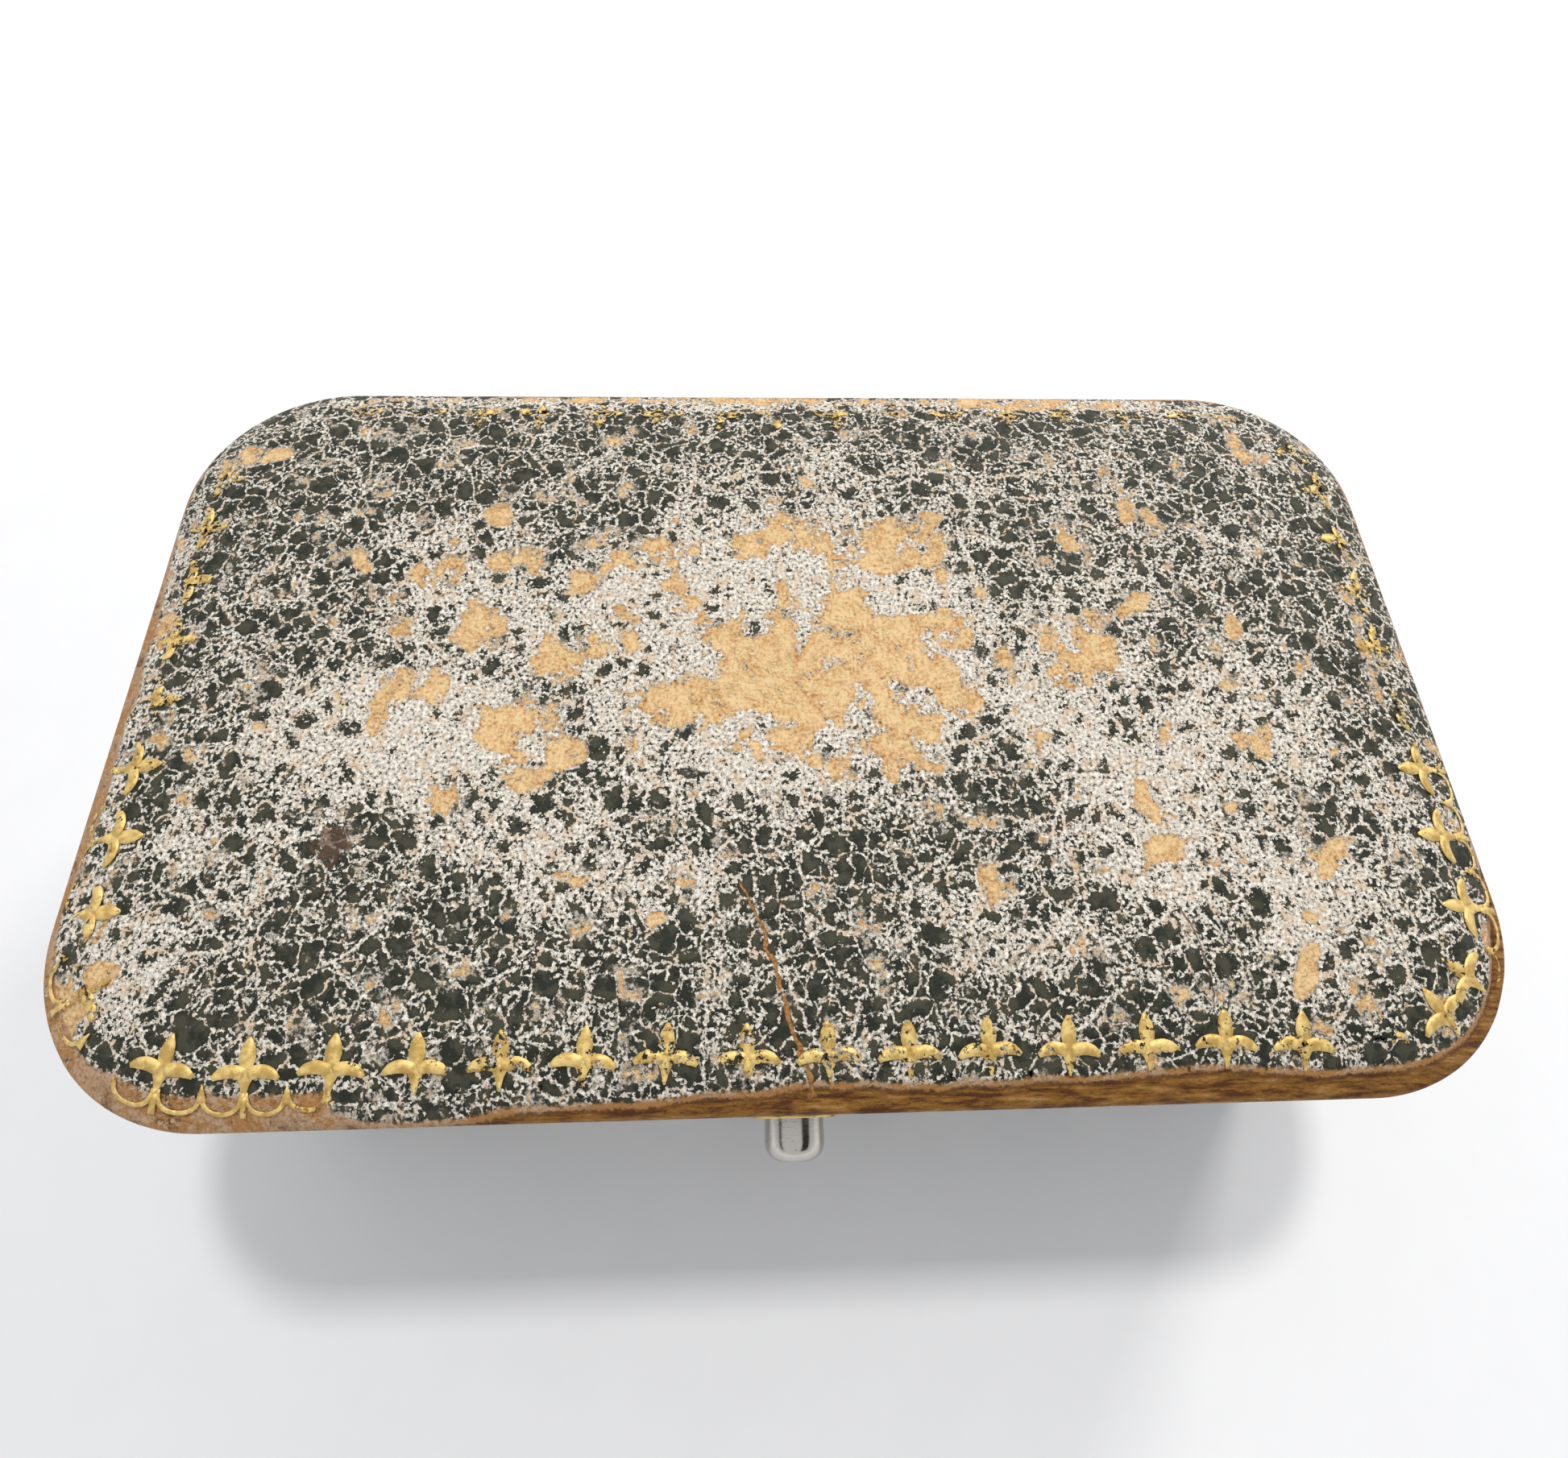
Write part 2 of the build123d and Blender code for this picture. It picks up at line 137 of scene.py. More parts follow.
class Graph:
    """A material's nodes, with its pattern space in millimetres: solid, or flat on a skin's own coordinates."""

    def __init__(self, name: str, flat: bool = False) -> None:
        """Start a material that holds a Principled shader alone."""
        self.dimensions = "2D" if flat else "3D"
        self.material = bpy.data.materials.new(name)
        self.material.use_nodes = True
        self.tree = self.material.node_tree
        self.shader = next(n for n in self.tree.nodes if n.type == "BSDF_PRINCIPLED")

    def node(self, kind: str, settings: dict | None = None, sockets: dict | None = None,
             output: int | str = 0) -> Wire:
        """Add one node.

        Args:
            kind: The node's type name.
            settings: Properties set first. "stops" gives a colour ramp's (place, colour) pairs.
            sockets: Values or wires for the inputs, by name or number.
            output: Which output to return.

        Returns:
            The chosen output.
        """
        made = self.tree.nodes.new(kind)
        for name, value in (settings or {}).items():
            if name == "stops":
                self._set_stops(made.color_ramp, value)
            else:
                setattr(made, name, value)
        for key, value in (sockets or {}).items():
            self.feed(made.inputs[key], value)
        return Wire(self, made.outputs[output])

    def feed(self, socket: bpy.types.NodeSocket, value: "Value | Sequence[float]") -> None:
        """Link a wire to an input, or set a number or colour on it."""
        if isinstance(value, Wire):
            self.tree.links.new(value.socket, socket)
        elif isinstance(value, (int, float)):
            socket.default_value = value
        else:
            room = len(socket.default_value)
            socket.default_value = (*value, 1.0)[:room] if room > len(value) else tuple(value)

    @staticmethod
    def _set_stops(ramp: bpy.types.ColorRamp, stops: Sequence[tuple[float, Colour]]) -> None:
        """Give a colour ramp its stops."""
        while len(ramp.elements) < len(stops):
            ramp.elements.new(0.5)
        for element, (place, colour) in zip(ramp.elements, stops):
            element.position = place
            element.color = (*colour, 1.0)

    def place(self) -> Wire:
        """Position in millimetres: on the piece, or where the patterns are flat, on its unrolled skin."""
        if self.dimensions == "2D":
            return self.node("ShaderNodeAttribute", {"attribute_name": "skin"}, None, "Vector")
        raw = self.node("ShaderNodeTexCoord", output="Object")
        return self.vector("MULTIPLY", raw, (1 / MM,) * 3)

    def vector(self, operation: str, *operands: "Value | Sequence[float]") -> Wire:
        """Add one Vector Math node."""
        return self.node("ShaderNodeVectorMath", {"operation": operation}, dict(enumerate(operands)))

    def axes(self, position: Wire) -> tuple[Wire, Wire, Wire]:
        """The X, Y and Z parts of a position."""
        split = self.node("ShaderNodeSeparateXYZ", None, {0: position})
        outputs = split.socket.node.outputs
        return tuple(Wire(self, outputs[i]) for i in range(3))

    def noise(self, position: Wire, size_mm: float, detail: float = 2.0, rough: float = 0.5) -> Wire:
        """Cloudy noise whose features are about size_mm across, centred on 0.5."""
        sockets = {"Vector": position, "Scale": 1 / size_mm, "Detail": detail, "Roughness": rough}
        return self.node("ShaderNodeTexNoise", {"noise_dimensions": self.dimensions}, sockets)

    def warp(self, position: Wire, size_mm: float, reach_mm: float) -> Wire:
        """The position pushed about by noise, by at most half of reach_mm each way."""
        sockets = {"Vector": position, "Scale": 1 / size_mm, "Detail": 1.0}
        push = self.node("ShaderNodeTexNoise", {"noise_dimensions": self.dimensions}, sockets, "Color")
        centred = self.vector("SUBTRACT", push, (0.5, 0.5, 0.5))
        return self.vector("MULTIPLY_ADD", centred, (reach_mm,) * 3, position)

    def cells(self, position: Wire, size_mm: float) -> Wire:
        """Distance to the nearest edge between Voronoi cells about size_mm across, in millimetres."""
        settings = {"feature": "DISTANCE_TO_EDGE", "voronoi_dimensions": self.dimensions}
        return size_mm * self.node("ShaderNodeTexVoronoi", settings, {"Vector": position, "Scale": 1 / size_mm})

    def mix(self, share: Value, low: "Wire | Colour", high: "Wire | Colour") -> Wire:
        """Colour between low, at share 0, and high, at share 1."""
        return self.node("ShaderNodeMix", {"data_type": "RGBA"}, {0: share, 6: low, 7: high}, 2)

    def ramp(self, share: Value, stops: Sequence[tuple[float, Colour]]) -> Wire:
        """Colour from a list of stops."""
        return self.node("ShaderNodeValToRGB", {"stops": stops}, {0: share})

    def attribute(self, name: str) -> Wire:
        """A number stored on the piece's vertices."""
        return self.node("ShaderNodeAttribute", {"attribute_name": name}, None, "Fac")

    def relief(self, height: Wire, depth_mm: float) -> None:
        """Turn a height of 0 to 1 into a bump depth_mm deep on the shader's Normal."""
        sockets = {"Height": height, "Distance": depth_mm * MM, "Strength": 1.0}
        self.finish(Normal=self.node("ShaderNodeBump", None, sockets))

    def finish(self, **inputs: "Value | Colour") -> None:
        """Set the Principled shader's inputs, with underscores for the spaces in their names."""
        for name, value in inputs.items():
            self.feed(self.shader.inputs[name.replace("_", " ")], value)


@dataclass(frozen=True)
class Scratch:
    """A split or crease in the leather, from one point to another, in millimetres."""

    start: tuple[float, float]
    end: tuple[float, float]
    bow_mm: float
    half_width_mm: float

    def mask(self, graph: Graph, position: Wire) -> Wire:
        """1 on the line and 0 beside it.

        The line bows to one side as a half sine of its length, wanders with noise, and tapers at its ends.

        Args:
            graph: The material's graph.
            position: Position in millimetres.

        Returns:
            The mask.
        """
        run = np.subtract(self.end, self.start)
        length = float(np.hypot(*run))
        along_x, along_y = run / length
        x, y, _ = graph.axes(position)
        dx, dy = x - self.start[0], y - self.start[1]
        along = (dx * along_x + dy * along_y) / length
        wander = (graph.noise(position, 1.6, 3.0) - 0.5) * 0.9
        across = dx * -along_y + dy * along_x - (along * math.pi).sine() * self.bow_mm + wander
        ends = along.step(-0.01, 0.06) * along.step(1.01, 0.9)
        return abs(across).step(self.half_width_mm * 1.35, self.half_width_mm * 0.65) * ends


@dataclass(frozen=True)
class Stain:
    """A ragged round stain, in millimetres."""

    middle: tuple[float, float]
    radius_mm: float
    colour: Colour

    def mask(self, graph: Graph, position: Wire) -> Wire:
        """1 in the stain and 0 outside it: the distance to its middle, with noise added, against its radius."""
        away = graph.vector("SUBTRACT", position, (*self.middle, 0.0))
        length = graph.node("ShaderNodeVectorMath", {"operation": "LENGTH"}, {0: away}, "Value")
        reach = length / self.radius_mm + (graph.noise(position, 0.7, 2.0, 0.7) - 0.5) * 2.4
        return reach.step(1.1, 0.75)


# ---- Finishes -----------------------------------------------------------------------------------------------
class Wear(Enum):
    """Where a leather finish takes its wear from."""

    PAINTED = "painted"      # the numbers stored on the lid's vertices
    RUBBED_EDGES = "edges"   # height above the table and nearness to a corner, for the base
    SHELTERED = "sheltered"  # hardly any, for the rims that the closed lid covers


@dataclass(frozen=True)
class CrackledLeather:
    """Green-black leather, crazed all over, with pale leather in the cracks and board where it is gone."""

    name: str
    wear: Wear
    crack_mm: float = 0.06
    dark: Colour = (0.020, 0.023, 0.015)
    dark_warm: Colour = (0.060, 0.058, 0.038)
    pale: Colour = (0.64, 0.585, 0.50)
    pale_light: Colour = (0.90, 0.85, 0.76)
    pale_cool: Colour = (0.38, 0.345, 0.29)
    pale_tan: Colour = (0.66, 0.46, 0.29)
    board: Colour = (0.62, 0.37, 0.165)
    board_light: Colour = (0.78, 0.57, 0.30)
    board_dark: Colour = (0.42, 0.20, 0.075)
    rub_tan: Colour = (0.40, 0.205, 0.060)
    rub_brown: Colour = (0.255, 0.115, 0.018)
    rub_dark: Colour = (0.085, 0.026, 0.007)
    splits: tuple[Scratch, ...] = ()
    shaded_creases: tuple[Scratch, ...] = ()
    stains: tuple[Stain, ...] = ()

    def _fields(self, g: Graph, p: Wire) -> tuple[Wire, Wire, Wire]:
        """How worn, how bare and how rubbed the leather is, each 0 to 1."""
        if self.wear is Wear.PAINTED:
            return g.attribute("worn"), g.attribute("bare"), g.attribute("rubbed")
        if self.wear is Wear.SHELTERED:
            return g.noise(p, 6.0, 1.0) * 0.3, g.noise(p, 5.0, 1.0) * 0.3, g.noise(p, 9.0, 1.0) * 0.2
        x, y, z = g.axes(p)
        corner = (abs(x) - 38.0).step(0.0, 9.0) * (abs(y) - 19.0).step(0.0, 9.0)
        foot = z.step(3.0, 0.2)
        rim = z.step(17.8, 20.0)
        patch = g.noise(p, 9.0, 2.0)
        worn = (foot * 0.30 + rim * 0.25 + corner * 0.35 + (patch - 0.44) * 0.8).most(0.02)
        bare = (corner * 0.28 + foot * 0.30 + (g.noise(p, 4.0, 2.0) - 0.5) * 0.9).least(0.62)
        rubbed = z.step(0.9, 0.0) * 0.62
        return worn, bare, rubbed

    def _crazing(self, g: Graph, p: Wire, worn: Wire) -> Wire:
        """How far a place is inside an island of sound leather, in millimetres: below 0 it is cracked or worn off.

        The islands are two sizes of cells, the smaller only in patches, with long cracks laid over them. Fine
        noise eats into their edges, and wear makes both the cracks and the noise larger.
        """
        bent = g.warp(g.warp(p, 1.5, 1.15), 0.45, 0.34)
        whole = g.noise(p, 2.2, 1.0).step(0.44, 0.64) * 0.55
        ridge = g.cells(bent, 1.60).least(g.cells(bent, 0.76) + whole)
        long_run = g.cells(g.warp(p, 2.6, 2.2), 6.5)
        grain = g.noise(p, 0.27, 2.0, 0.62) - 0.5
        width = worn * worn * 0.42 + self.crack_mm
        return ridge.least(long_run * 0.8 - 0.03) - width + grain * (0.46 + worn * 1.15)

    def _surface(self, g: Graph, p: Wire) -> tuple[Wire, Wire, Wire]:
        """Colour, height and roughness of the leather and of what shows through it."""
        worn, bare_field, rub_field = self._fields(g, p)
        sound = self._crazing(g, p, worn)
        cracks = sound.step(0.03, -0.03)
        ragged = g.noise(p, 3.0, 5.0, 0.70)
        fibre = g.noise(p, 0.26, 2.0, 0.6)
        tint = g.noise(p, 1.1, 3.0, 0.6)
        dark = g.mix(tint.step(0.40, 0.66), self.dark, self.dark_warm)
        pale = g.ramp(fibre, [(0.29, self.dark_warm), (0.36, self.pale_cool), (0.50, self.pale),
                              (0.68, self.pale_light)])
        pale = g.mix(tint.step(0.54, 0.66) * 0.6, pale, self.pale_tan)
        colour = g.mix(cracks, dark, pale)
        torn = bare_field + (ragged - 0.5) * 1.9 + (fibre - 0.5) * 0.12
        bare = torn.step(0.49, 0.53)
        fringe = torn.step(0.34, 0.49) * (1.0 - bare)
        depth = torn.step(0.50, 0.78) * 0.10
        board = g.ramp(tint * 0.45 + fibre * 0.55 + depth,
                       [(0.34, self.board_dark), (0.48, self.board), (0.66, self.board_light)])
        colour = g.mix(fringe * 0.75, colour, pale)
        colour = g.mix(bare, colour, board)
        rub = rub_field + (ragged - 0.5) * 0.20 + (fibre - 0.5) * 0.08
        rubbed = rub.step(0.48, 0.53)
        seam = rub.step(0.56, 0.60) * rub.step(0.66, 0.61)
        streaks = g.noise(g.vector("MULTIPLY", p, (0.30, 2.2, 2.2)), 0.9, 4.0, 0.7)
        wood = g.mix(streaks.step(0.34, 0.58), self.rub_dark, self.rub_brown)
        wood = g.mix(streaks.step(0.54, 0.74) * 0.35, wood, self.board)
        rub_fibres = g.mix(fibre.step(0.3, 0.7), self.rub_tan, self.board_dark)
        scuffed = g.mix(ragged.step(0.47, 0.54) * 0.25, rub_fibres, pale)
        colour = g.mix(rubbed, colour, scuffed)
        colour = g.mix(rub.step(0.57, 0.62), colour, wood)
        colour = g.mix(seam * 0.6, colour, self.rub_dark)
        height = sound.step(-0.10, 0.26) * 0.50 + 0.35 - bare * 0.30 - rubbed * 0.30 + (fibre - 0.5) * 0.30
        for split in self.splits:
            gap = split.mask(g, p)
            colour = g.mix(gap, colour, g.mix(fibre.step(0.35, 0.6), self.rub_brown, self.board_dark))
            height = height - gap * 0.6
        # Each crease is a dip in the bump and also a dark line in the colour: the dark line is painted shade in the
        # fold.
        for crease in self.shaded_creases:
            line = crease.mask(g, p)
            colour = g.mix(line * 0.8, colour, self.rub_dark)
            height = height - line * 0.3
        for stain in self.stains:
            colour = g.mix(stain.mask(g, p) * 0.8, colour, stain.colour)
        roughness = 0.62 + cracks * 0.14 + bare * 0.12 - (fibre - 0.5) * 0.2
        return colour, height, roughness

    def build(self) -> bpy.types.Material:
        """Make the material."""
        g = Graph(self.name, flat=self.wear is Wear.PAINTED)
        colour, height, roughness = self._surface(g, g.place())
        g.finish(Base_Color=colour, Roughness=roughness, Specular_IOR_Level=0.22)
        g.relief(height, 0.14)
        return g.material


@dataclass(frozen=True)
class GoldLeaf:
    """Gold leaf pressed into leather, rubbed through where it is worn."""

    name: str = "gold_leaf"
    bright: Colour = (0.90, 0.66, 0.24)
    deep: Colour = (0.60, 0.38, 0.10)

    def build(self) -> bpy.types.Material:
        """Make the material, whose Alpha falls where the stored "kept" number is low."""
        g = Graph(self.name)
        p = g.place()
        kept = g.attribute("kept")
        crumbs = g.noise(p, 0.45, 4.0, 0.65)
        patches = g.noise(p, 2.0, 2.0)
        there = kept + (crumbs - 0.5) * 0.95 + (patches - 0.5) * 0.5
        tone = g.noise(p, 0.7, 4.0, 0.6)
        g.finish(Base_Color=g.mix(tone.step(0.62, 0.38), self.bright, self.deep), Metallic=0.35,
                 Roughness=0.36 + tone * 0.25, Alpha=there.step(0.46, 0.52))
        g.relief(tone * 0.6 + g.noise(p, 0.22, 2.0) * 0.4, 0.06)
        return g.material


@dataclass(frozen=True)
class BareWood:
    """Plain light wood, as inside the case's walls."""

    name: str = "plain_wood"
    early: Colour = (0.50, 0.32, 0.17)
    late: Colour = (0.33, 0.19, 0.09)

    def build(self) -> bpy.types.Material:
        """Make the material, with grain along X."""
        g = Graph(self.name)
        p = g.place()
        drawn = g.vector("MULTIPLY", g.warp(p, 9.0, 2.0), (0.08, 1.0, 1.0))
        grain = g.noise(drawn, 0.9, 5.0, 0.6)
        pores = g.noise(g.vector("MULTIPLY", p, (0.2, 3.0, 3.0)), 0.5, 2.0)
        g.finish(Base_Color=g.mix(grain.step(0.35, 0.65), self.early, self.late),
                 Roughness=0.55 + pores * 0.25)
        g.relief(pores * 0.5 + grain * 0.5, 0.05)
        return g.material


@dataclass(frozen=True)
class Pasteboard:
    """Grey-brown card with short fibres."""

    name: str = "pasteboard"
    light: Colour = (0.30, 0.27, 0.23)
    dark: Colour = (0.19, 0.17, 0.14)

    def build(self) -> bpy.types.Material:
        """Make the material."""
        g = Graph(self.name)
        p = g.place()
        fibre = g.noise(g.warp(p, 1.5, 0.8), 0.35, 4.0, 0.7)
        g.finish(Base_Color=g.mix(fibre.step(0.35, 0.68), self.light, self.dark), Roughness=0.8 + fibre * 0.15)
        g.relief(fibre, 0.04)
        return g.material


@dataclass(frozen=True)
class LeatherPaper:
    """Matt embossed paper, glued under the case."""

    name: str = "leather_paper"
    ground: Colour = (0.030, 0.032, 0.028)
    scuff: Colour = (0.16, 0.14, 0.11)

    def build(self) -> bpy.types.Material:
        """Make the material, scuffed towards the outline where it rests."""
        g = Graph(self.name)
        p = g.place()
        x, y, _ = g.axes(p)
        pebble = g.cells(g.warp(p, 1.0, 0.4), 0.8)
        edge = (abs(x) - 43.0).step(0.0, 4.5).most((abs(y) - 24.0).step(0.0, 4.5))
        scuffs = (g.noise(p, 2.2, 5.0, 0.7) + edge * 0.14).step(0.60, 0.68)
        g.finish(Base_Color=g.mix(scuffs * 0.8, self.ground, self.scuff), Roughness=0.66 + scuffs * 0.2)
        g.relief(pebble.step(0.0, 0.2) * 0.8 - scuffs * 0.4, 0.05)
        return g.material


@dataclass(frozen=True)
class Velvet:
    """Cut-pile velvet, crushed lighter in patches."""

    name: str = "velvet"
    deep: Colour = (0.105, 0.008, 0.016)
    crushed: Colour = (0.20, 0.022, 0.036)

    def build(self) -> bpy.types.Material:
        """Make the material."""
        g = Graph(self.name)
        p = g.place()
        nap = g.noise(g.vector("MULTIPLY", g.warp(p, 9.0, 5.0), (0.5, 1.0, 1.0)), 4.5, 3.0)
        pile = g.noise(p, 0.16, 2.0, 0.7)
        dust = g.noise(p, 0.5, 5.0, 0.75).step(0.70, 0.76)
        colour = g.mix(nap.step(0.30, 0.75), self.deep, self.crushed)
        g.finish(Base_Color=g.mix(dust * 0.35, colour, (0.5, 0.38, 0.36)), Roughness=0.82 + pile * 0.15,
                 Sheen_Weight=0.75, Sheen_Roughness=0.35, Sheen_Tint=(0.95, 0.45, 0.5))
        g.relief(pile * 0.8 + nap * 0.2, 0.12)
        return g.material


@dataclass(frozen=True)
class Satin:
    """Cream satin with a fine cross weave, yellowed unevenly with age."""

    name: str = "satin"
    cream: Colour = (0.74, 0.64, 0.47)
    aged: Colour = (0.56, 0.43, 0.26)

    def build(self) -> bpy.types.Material:
        """Make the material. The weave is two sine waves across each other, 6 threads to the millimetre."""
        g = Graph(self.name)
        p = g.place()
        x, y, _ = g.axes(p)
        warp_threads = (x * (2 * math.pi * 6.0)).sine()
        weft_threads = (y * (2 * math.pi * 3.0)).sine()
        aging = g.noise(p, 16.0, 3.0).step(0.35, 0.85)
        slubs = g.noise(g.vector("MULTIPLY", p, (0.12, 3.0, 1.0)), 0.5, 2.0)
        g.finish(Base_Color=g.mix(aging * 0.6, self.cream, self.aged), Roughness=0.34 + slubs * 0.16,
                 Sheen_Weight=0.25, Sheen_Roughness=0.3, Specular_IOR_Level=0.6)
        g.relief(warp_threads * 0.2 + weft_threads * 0.2 + slubs * 0.6, 0.02)
        return g.material


@dataclass(frozen=True)
class Metal:
    """Old plated or solid metal: a base tone, a tarnish in patches, fine scratches and small pits."""

    name: str
    bright: Colour
    tarnish: Colour
    roughness: float
    tarnished: float = 0.5
    scratch_stretch: tuple[float, float, float] = (0.15, 2.0, 2.0)

    def build(self) -> bpy.types.Material:
        """Make the material."""
        g = Graph(self.name)
        p = g.place()
        patches = g.noise(p, 1.8, 5.0, 0.65)
        film = patches.step(0.66 - 0.22 * self.tarnished, 0.74 - 0.10 * self.tarnished)
        scratches = g.noise(g.vector("MULTIPLY", p, self.scratch_stretch), 0.22, 3.0, 0.7)
        pits = g.noise(p, 0.28, 3.0, 0.6).step(0.66, 0.72)
        colour = g.mix(film * 0.8, self.bright, self.tarnish)
        g.finish(Base_Color=g.mix(pits * 0.6, colour, self.tarnish), Metallic=1.0 - film * 0.25,
                 Roughness=(scratches - 0.5) * 0.25 + film * 0.22 + pits * 0.2 + self.roughness)
        g.relief(scratches * 0.7 - pits * 0.6, 0.012)
        return g.material


# ---- Surfaces -----------------------------------------------------------------------------------------------
def rise(value: np.ndarray, low: float, high: float) -> np.ndarray:
    """Smooth rise from 0 at low to 1 at high, or a fall where low is above high."""
    share = np.clip((np.asarray(value, float) - low) / (high - low), 0.0, 1.0)
    return share * share * (3.0 - 2.0 * share)


@dataclass(frozen=True)
class Cloud:
    """A smooth random field over the plane, from 0 to 1, with hills about size_mm across."""

    size_mm: float
    seed: int
    cells: int = 64

    def at(self, x: np.ndarray, y: np.ndarray) -> np.ndarray:
        """Blend a repeating lattice of random numbers, with a smooth step between neighbours.

        Args:
            x: Places in millimetres.
            y: Places in millimetres.

        Returns:
            The field there.
        """
        lattice = np.random.default_rng(self.seed).random((self.cells, self.cells))
        u, v = x / self.size_mm, y / self.size_mm
        i, j = np.floor(u).astype(int), np.floor(v).astype(int)
        fu, fv = rise(u - i, 0.0, 1.0), rise(v - j, 0.0, 1.0)
        here, right = i % self.cells, (i + 1) % self.cells
        low, up = j % self.cells, (j + 1) % self.cells
        bottom = lattice[here, low] * (1 - fu) + lattice[right, low] * fu
        top = lattice[here, up] * (1 - fu) + lattice[right, up] * fu
        return bottom * (1 - fv) + top * fv


@dataclass(frozen=True)
class Patch:
    """A soft-edged oval on the lid, in millimetres, with how strongly it counts."""

    x: float
    y: float
    half_x: float
    half_y: float
    strength: float = 1.0
    turn_deg: float = 0.0

    def at(self, x: np.ndarray, y: np.ndarray) -> np.ndarray:
        """The oval's strength at each place: full at its middle, half at its outline, none at half as far again."""
        c, s = math.cos(math.radians(self.turn_deg)), math.sin(math.radians(self.turn_deg))
        dx, dy = x - self.x, y - self.y
        reach = np.hypot((dx * c + dy * s) / self.half_x, (dy * c - dx * s) / self.half_y)
        return self.strength * rise(reach, 1.5, 0.5)


def strongest(patches: Iterable[Patch], x: np.ndarray, y: np.ndarray) -> np.ndarray:
    """The largest of several patches at each place."""
    return np.max([patch.at(x, y) for patch in patches], axis=0)


def grid_faces(rows: int, columns: int, first: int = 0, closed: bool = False) -> np.ndarray:
    """Quads of a grid whose points are stored row by row, anticlockwise where rows run up and columns right."""
    column = np.arange(columns if closed else columns - 1)
    here = first + np.arange(rows - 1)[:, None] * columns + column
    beside = first + np.arange(rows - 1)[:, None] * columns + (column + 1) % columns
    return np.stack([here, beside, beside + columns, here + columns], -1).reshape(-1, 4)


def make_piece(name: str, points_mm: np.ndarray, faces: np.ndarray, material: bpy.types.Material, body: str | None,
               numbers: dict[str, np.ndarray] | None = None) -> bpy.types.Object:
    """Make a smooth mesh piece that rides on a body.

    Args:
        name: The piece's name.
        points_mm: Its points, in millimetres.
        faces: Its faces, as rows of point numbers.
        material: Its finish.
        body: The body it rides on, or None to leave it on no body.
        numbers: Values to store on its points, by attribute name.

    Returns:
        The new object.
    """
    mesh = bpy.data.meshes.new(name)
    mesh.from_pydata((points_mm * MM).tolist(), [], faces.tolist())
    for key, values in (numbers or {}).items():
        kind, part = ("FLOAT", "value") if values.ndim == 1 else ("FLOAT_VECTOR", "vector")
        mesh.attributes.new(key, kind, "POINT").data.foreach_set(part, values.astype(np.float32).ravel())
    mesh.materials.append(material)
    mesh.shade_smooth()
    mesh.update()
    piece = bpy.data.objects.new(name, mesh)
    bpy.context.scene.collection.objects.link(piece)
    if body:
        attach(piece, body)
    log.info("%s: %d faces on %s", name, len(faces), body or "two bodies")
    return piece


def thicken(piece: bpy.types.Object, depth_mm: float) -> None:
    """Give a sheet its thickness on the side that faces away from its normals."""
    wall = piece.modifiers.new("thickness", "SOLIDIFY")
    wall.thickness = depth_mm * MM
    wall.offset = -1.0
    wall.use_rim = True


@dataclass(frozen=True)
class RoundedRectangle:
    """The case's outline from above, in millimetres, about the origin."""

    half_x: float
    half_y: float
    radius: float

    def spread(self, across: np.ndarray, along: np.ndarray) -> tuple[np.ndarray, np.ndarray, np.ndarray]:
        """Map a rectangular grid onto the outline's inside.

        The middle of each side is flat, and its places are millimetres. Past the flat they run on by a share of
        the corner radius, from 0 to 1. In a corner, the larger of the two shares is how far out along the radius
        the point lies, and the smaller over the larger turns the angle away from that side by up to 45 degrees.

        Args:
            across: Places along X, from -(flat + 1) to flat + 1.
            along: Places along Y, in the same way.

        Returns:
            X of the flat part, Y of the flat part, and three planes: the share of the corner radius, then the
            outward direction's X and Y.
        """
        flat_x, flat_y = self.half_x - self.radius, self.half_y - self.radius
        a = np.maximum(np.abs(across) - flat_x, 0.0)
        b = np.maximum(np.abs(along) - flat_y, 0.0)
        share = np.maximum(a, b)
        safe = np.where(share > 0, share, 1.0)
        angle = np.where(a >= b, math.pi / 4 * b / safe, math.pi / 2 - math.pi / 4 * a / safe)
        base_x = np.clip(across, -flat_x, flat_x)
        base_y = np.clip(along, -flat_y, flat_y)
        outward = np.stack([share, np.cos(angle) * np.sign(across), np.sin(angle) * np.sign(along)])
        return base_x, base_y, outward

    def path(self, distance: np.ndarray) -> tuple[np.ndarray, np.ndarray, np.ndarray, np.ndarray]:
        """Walk round the outline anticlockwise from the middle of the front.

        Args:
            distance: How far to walk, in millimetres.

        Returns:
            X, Y and the outward direction's X and Y there.
        """
        flat_x, flat_y = self.half_x - self.radius, self.half_y - self.radius
        quarter = self.radius * math.pi / 2
        lengths = np.array([flat_x, quarter, 2 * flat_y, quarter, 2 * flat_x, quarter, 2 * flat_y, quarter, flat_x])
        ends = np.concatenate([[0.0], np.cumsum(lengths)])
        left = np.mod(distance, ends[-1])
        part = np.clip(np.searchsorted(ends, left, side="right") - 1, 0, 8)
        gone = left - ends[part]
        turns = part // 2 + np.where(part % 2 == 1, gone / quarter, 0.0)
        angle = -math.pi / 2 + turns * math.pi / 2
        starts_x = np.array([0.0, flat_x, flat_x, flat_x, flat_x, -flat_x, -flat_x, -flat_x, -flat_x])
        starts_y = np.array([-flat_y, -flat_y, -flat_y, flat_y, flat_y, flat_y, flat_y, -flat_y, -flat_y])
        straight = np.where(part % 2 == 0, gone, 0.0)
        out_x, out_y = np.cos(angle), np.sin(angle)
        x = starts_x[part] + out_x * self.radius - out_y * straight
        y = starts_y[part] + out_y * self.radius + out_x * straight
        return x, y, out_x, out_y


def case_outline() -> RoundedRectangle:
    """The case's outline, read from its underside."""
    low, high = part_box("base_underside_cover")
    return RoundedRectangle((high.x - low.x) / 2 / MM, (high.y - low.y) / 2 / MM, CORNER_RADIUS_MM)


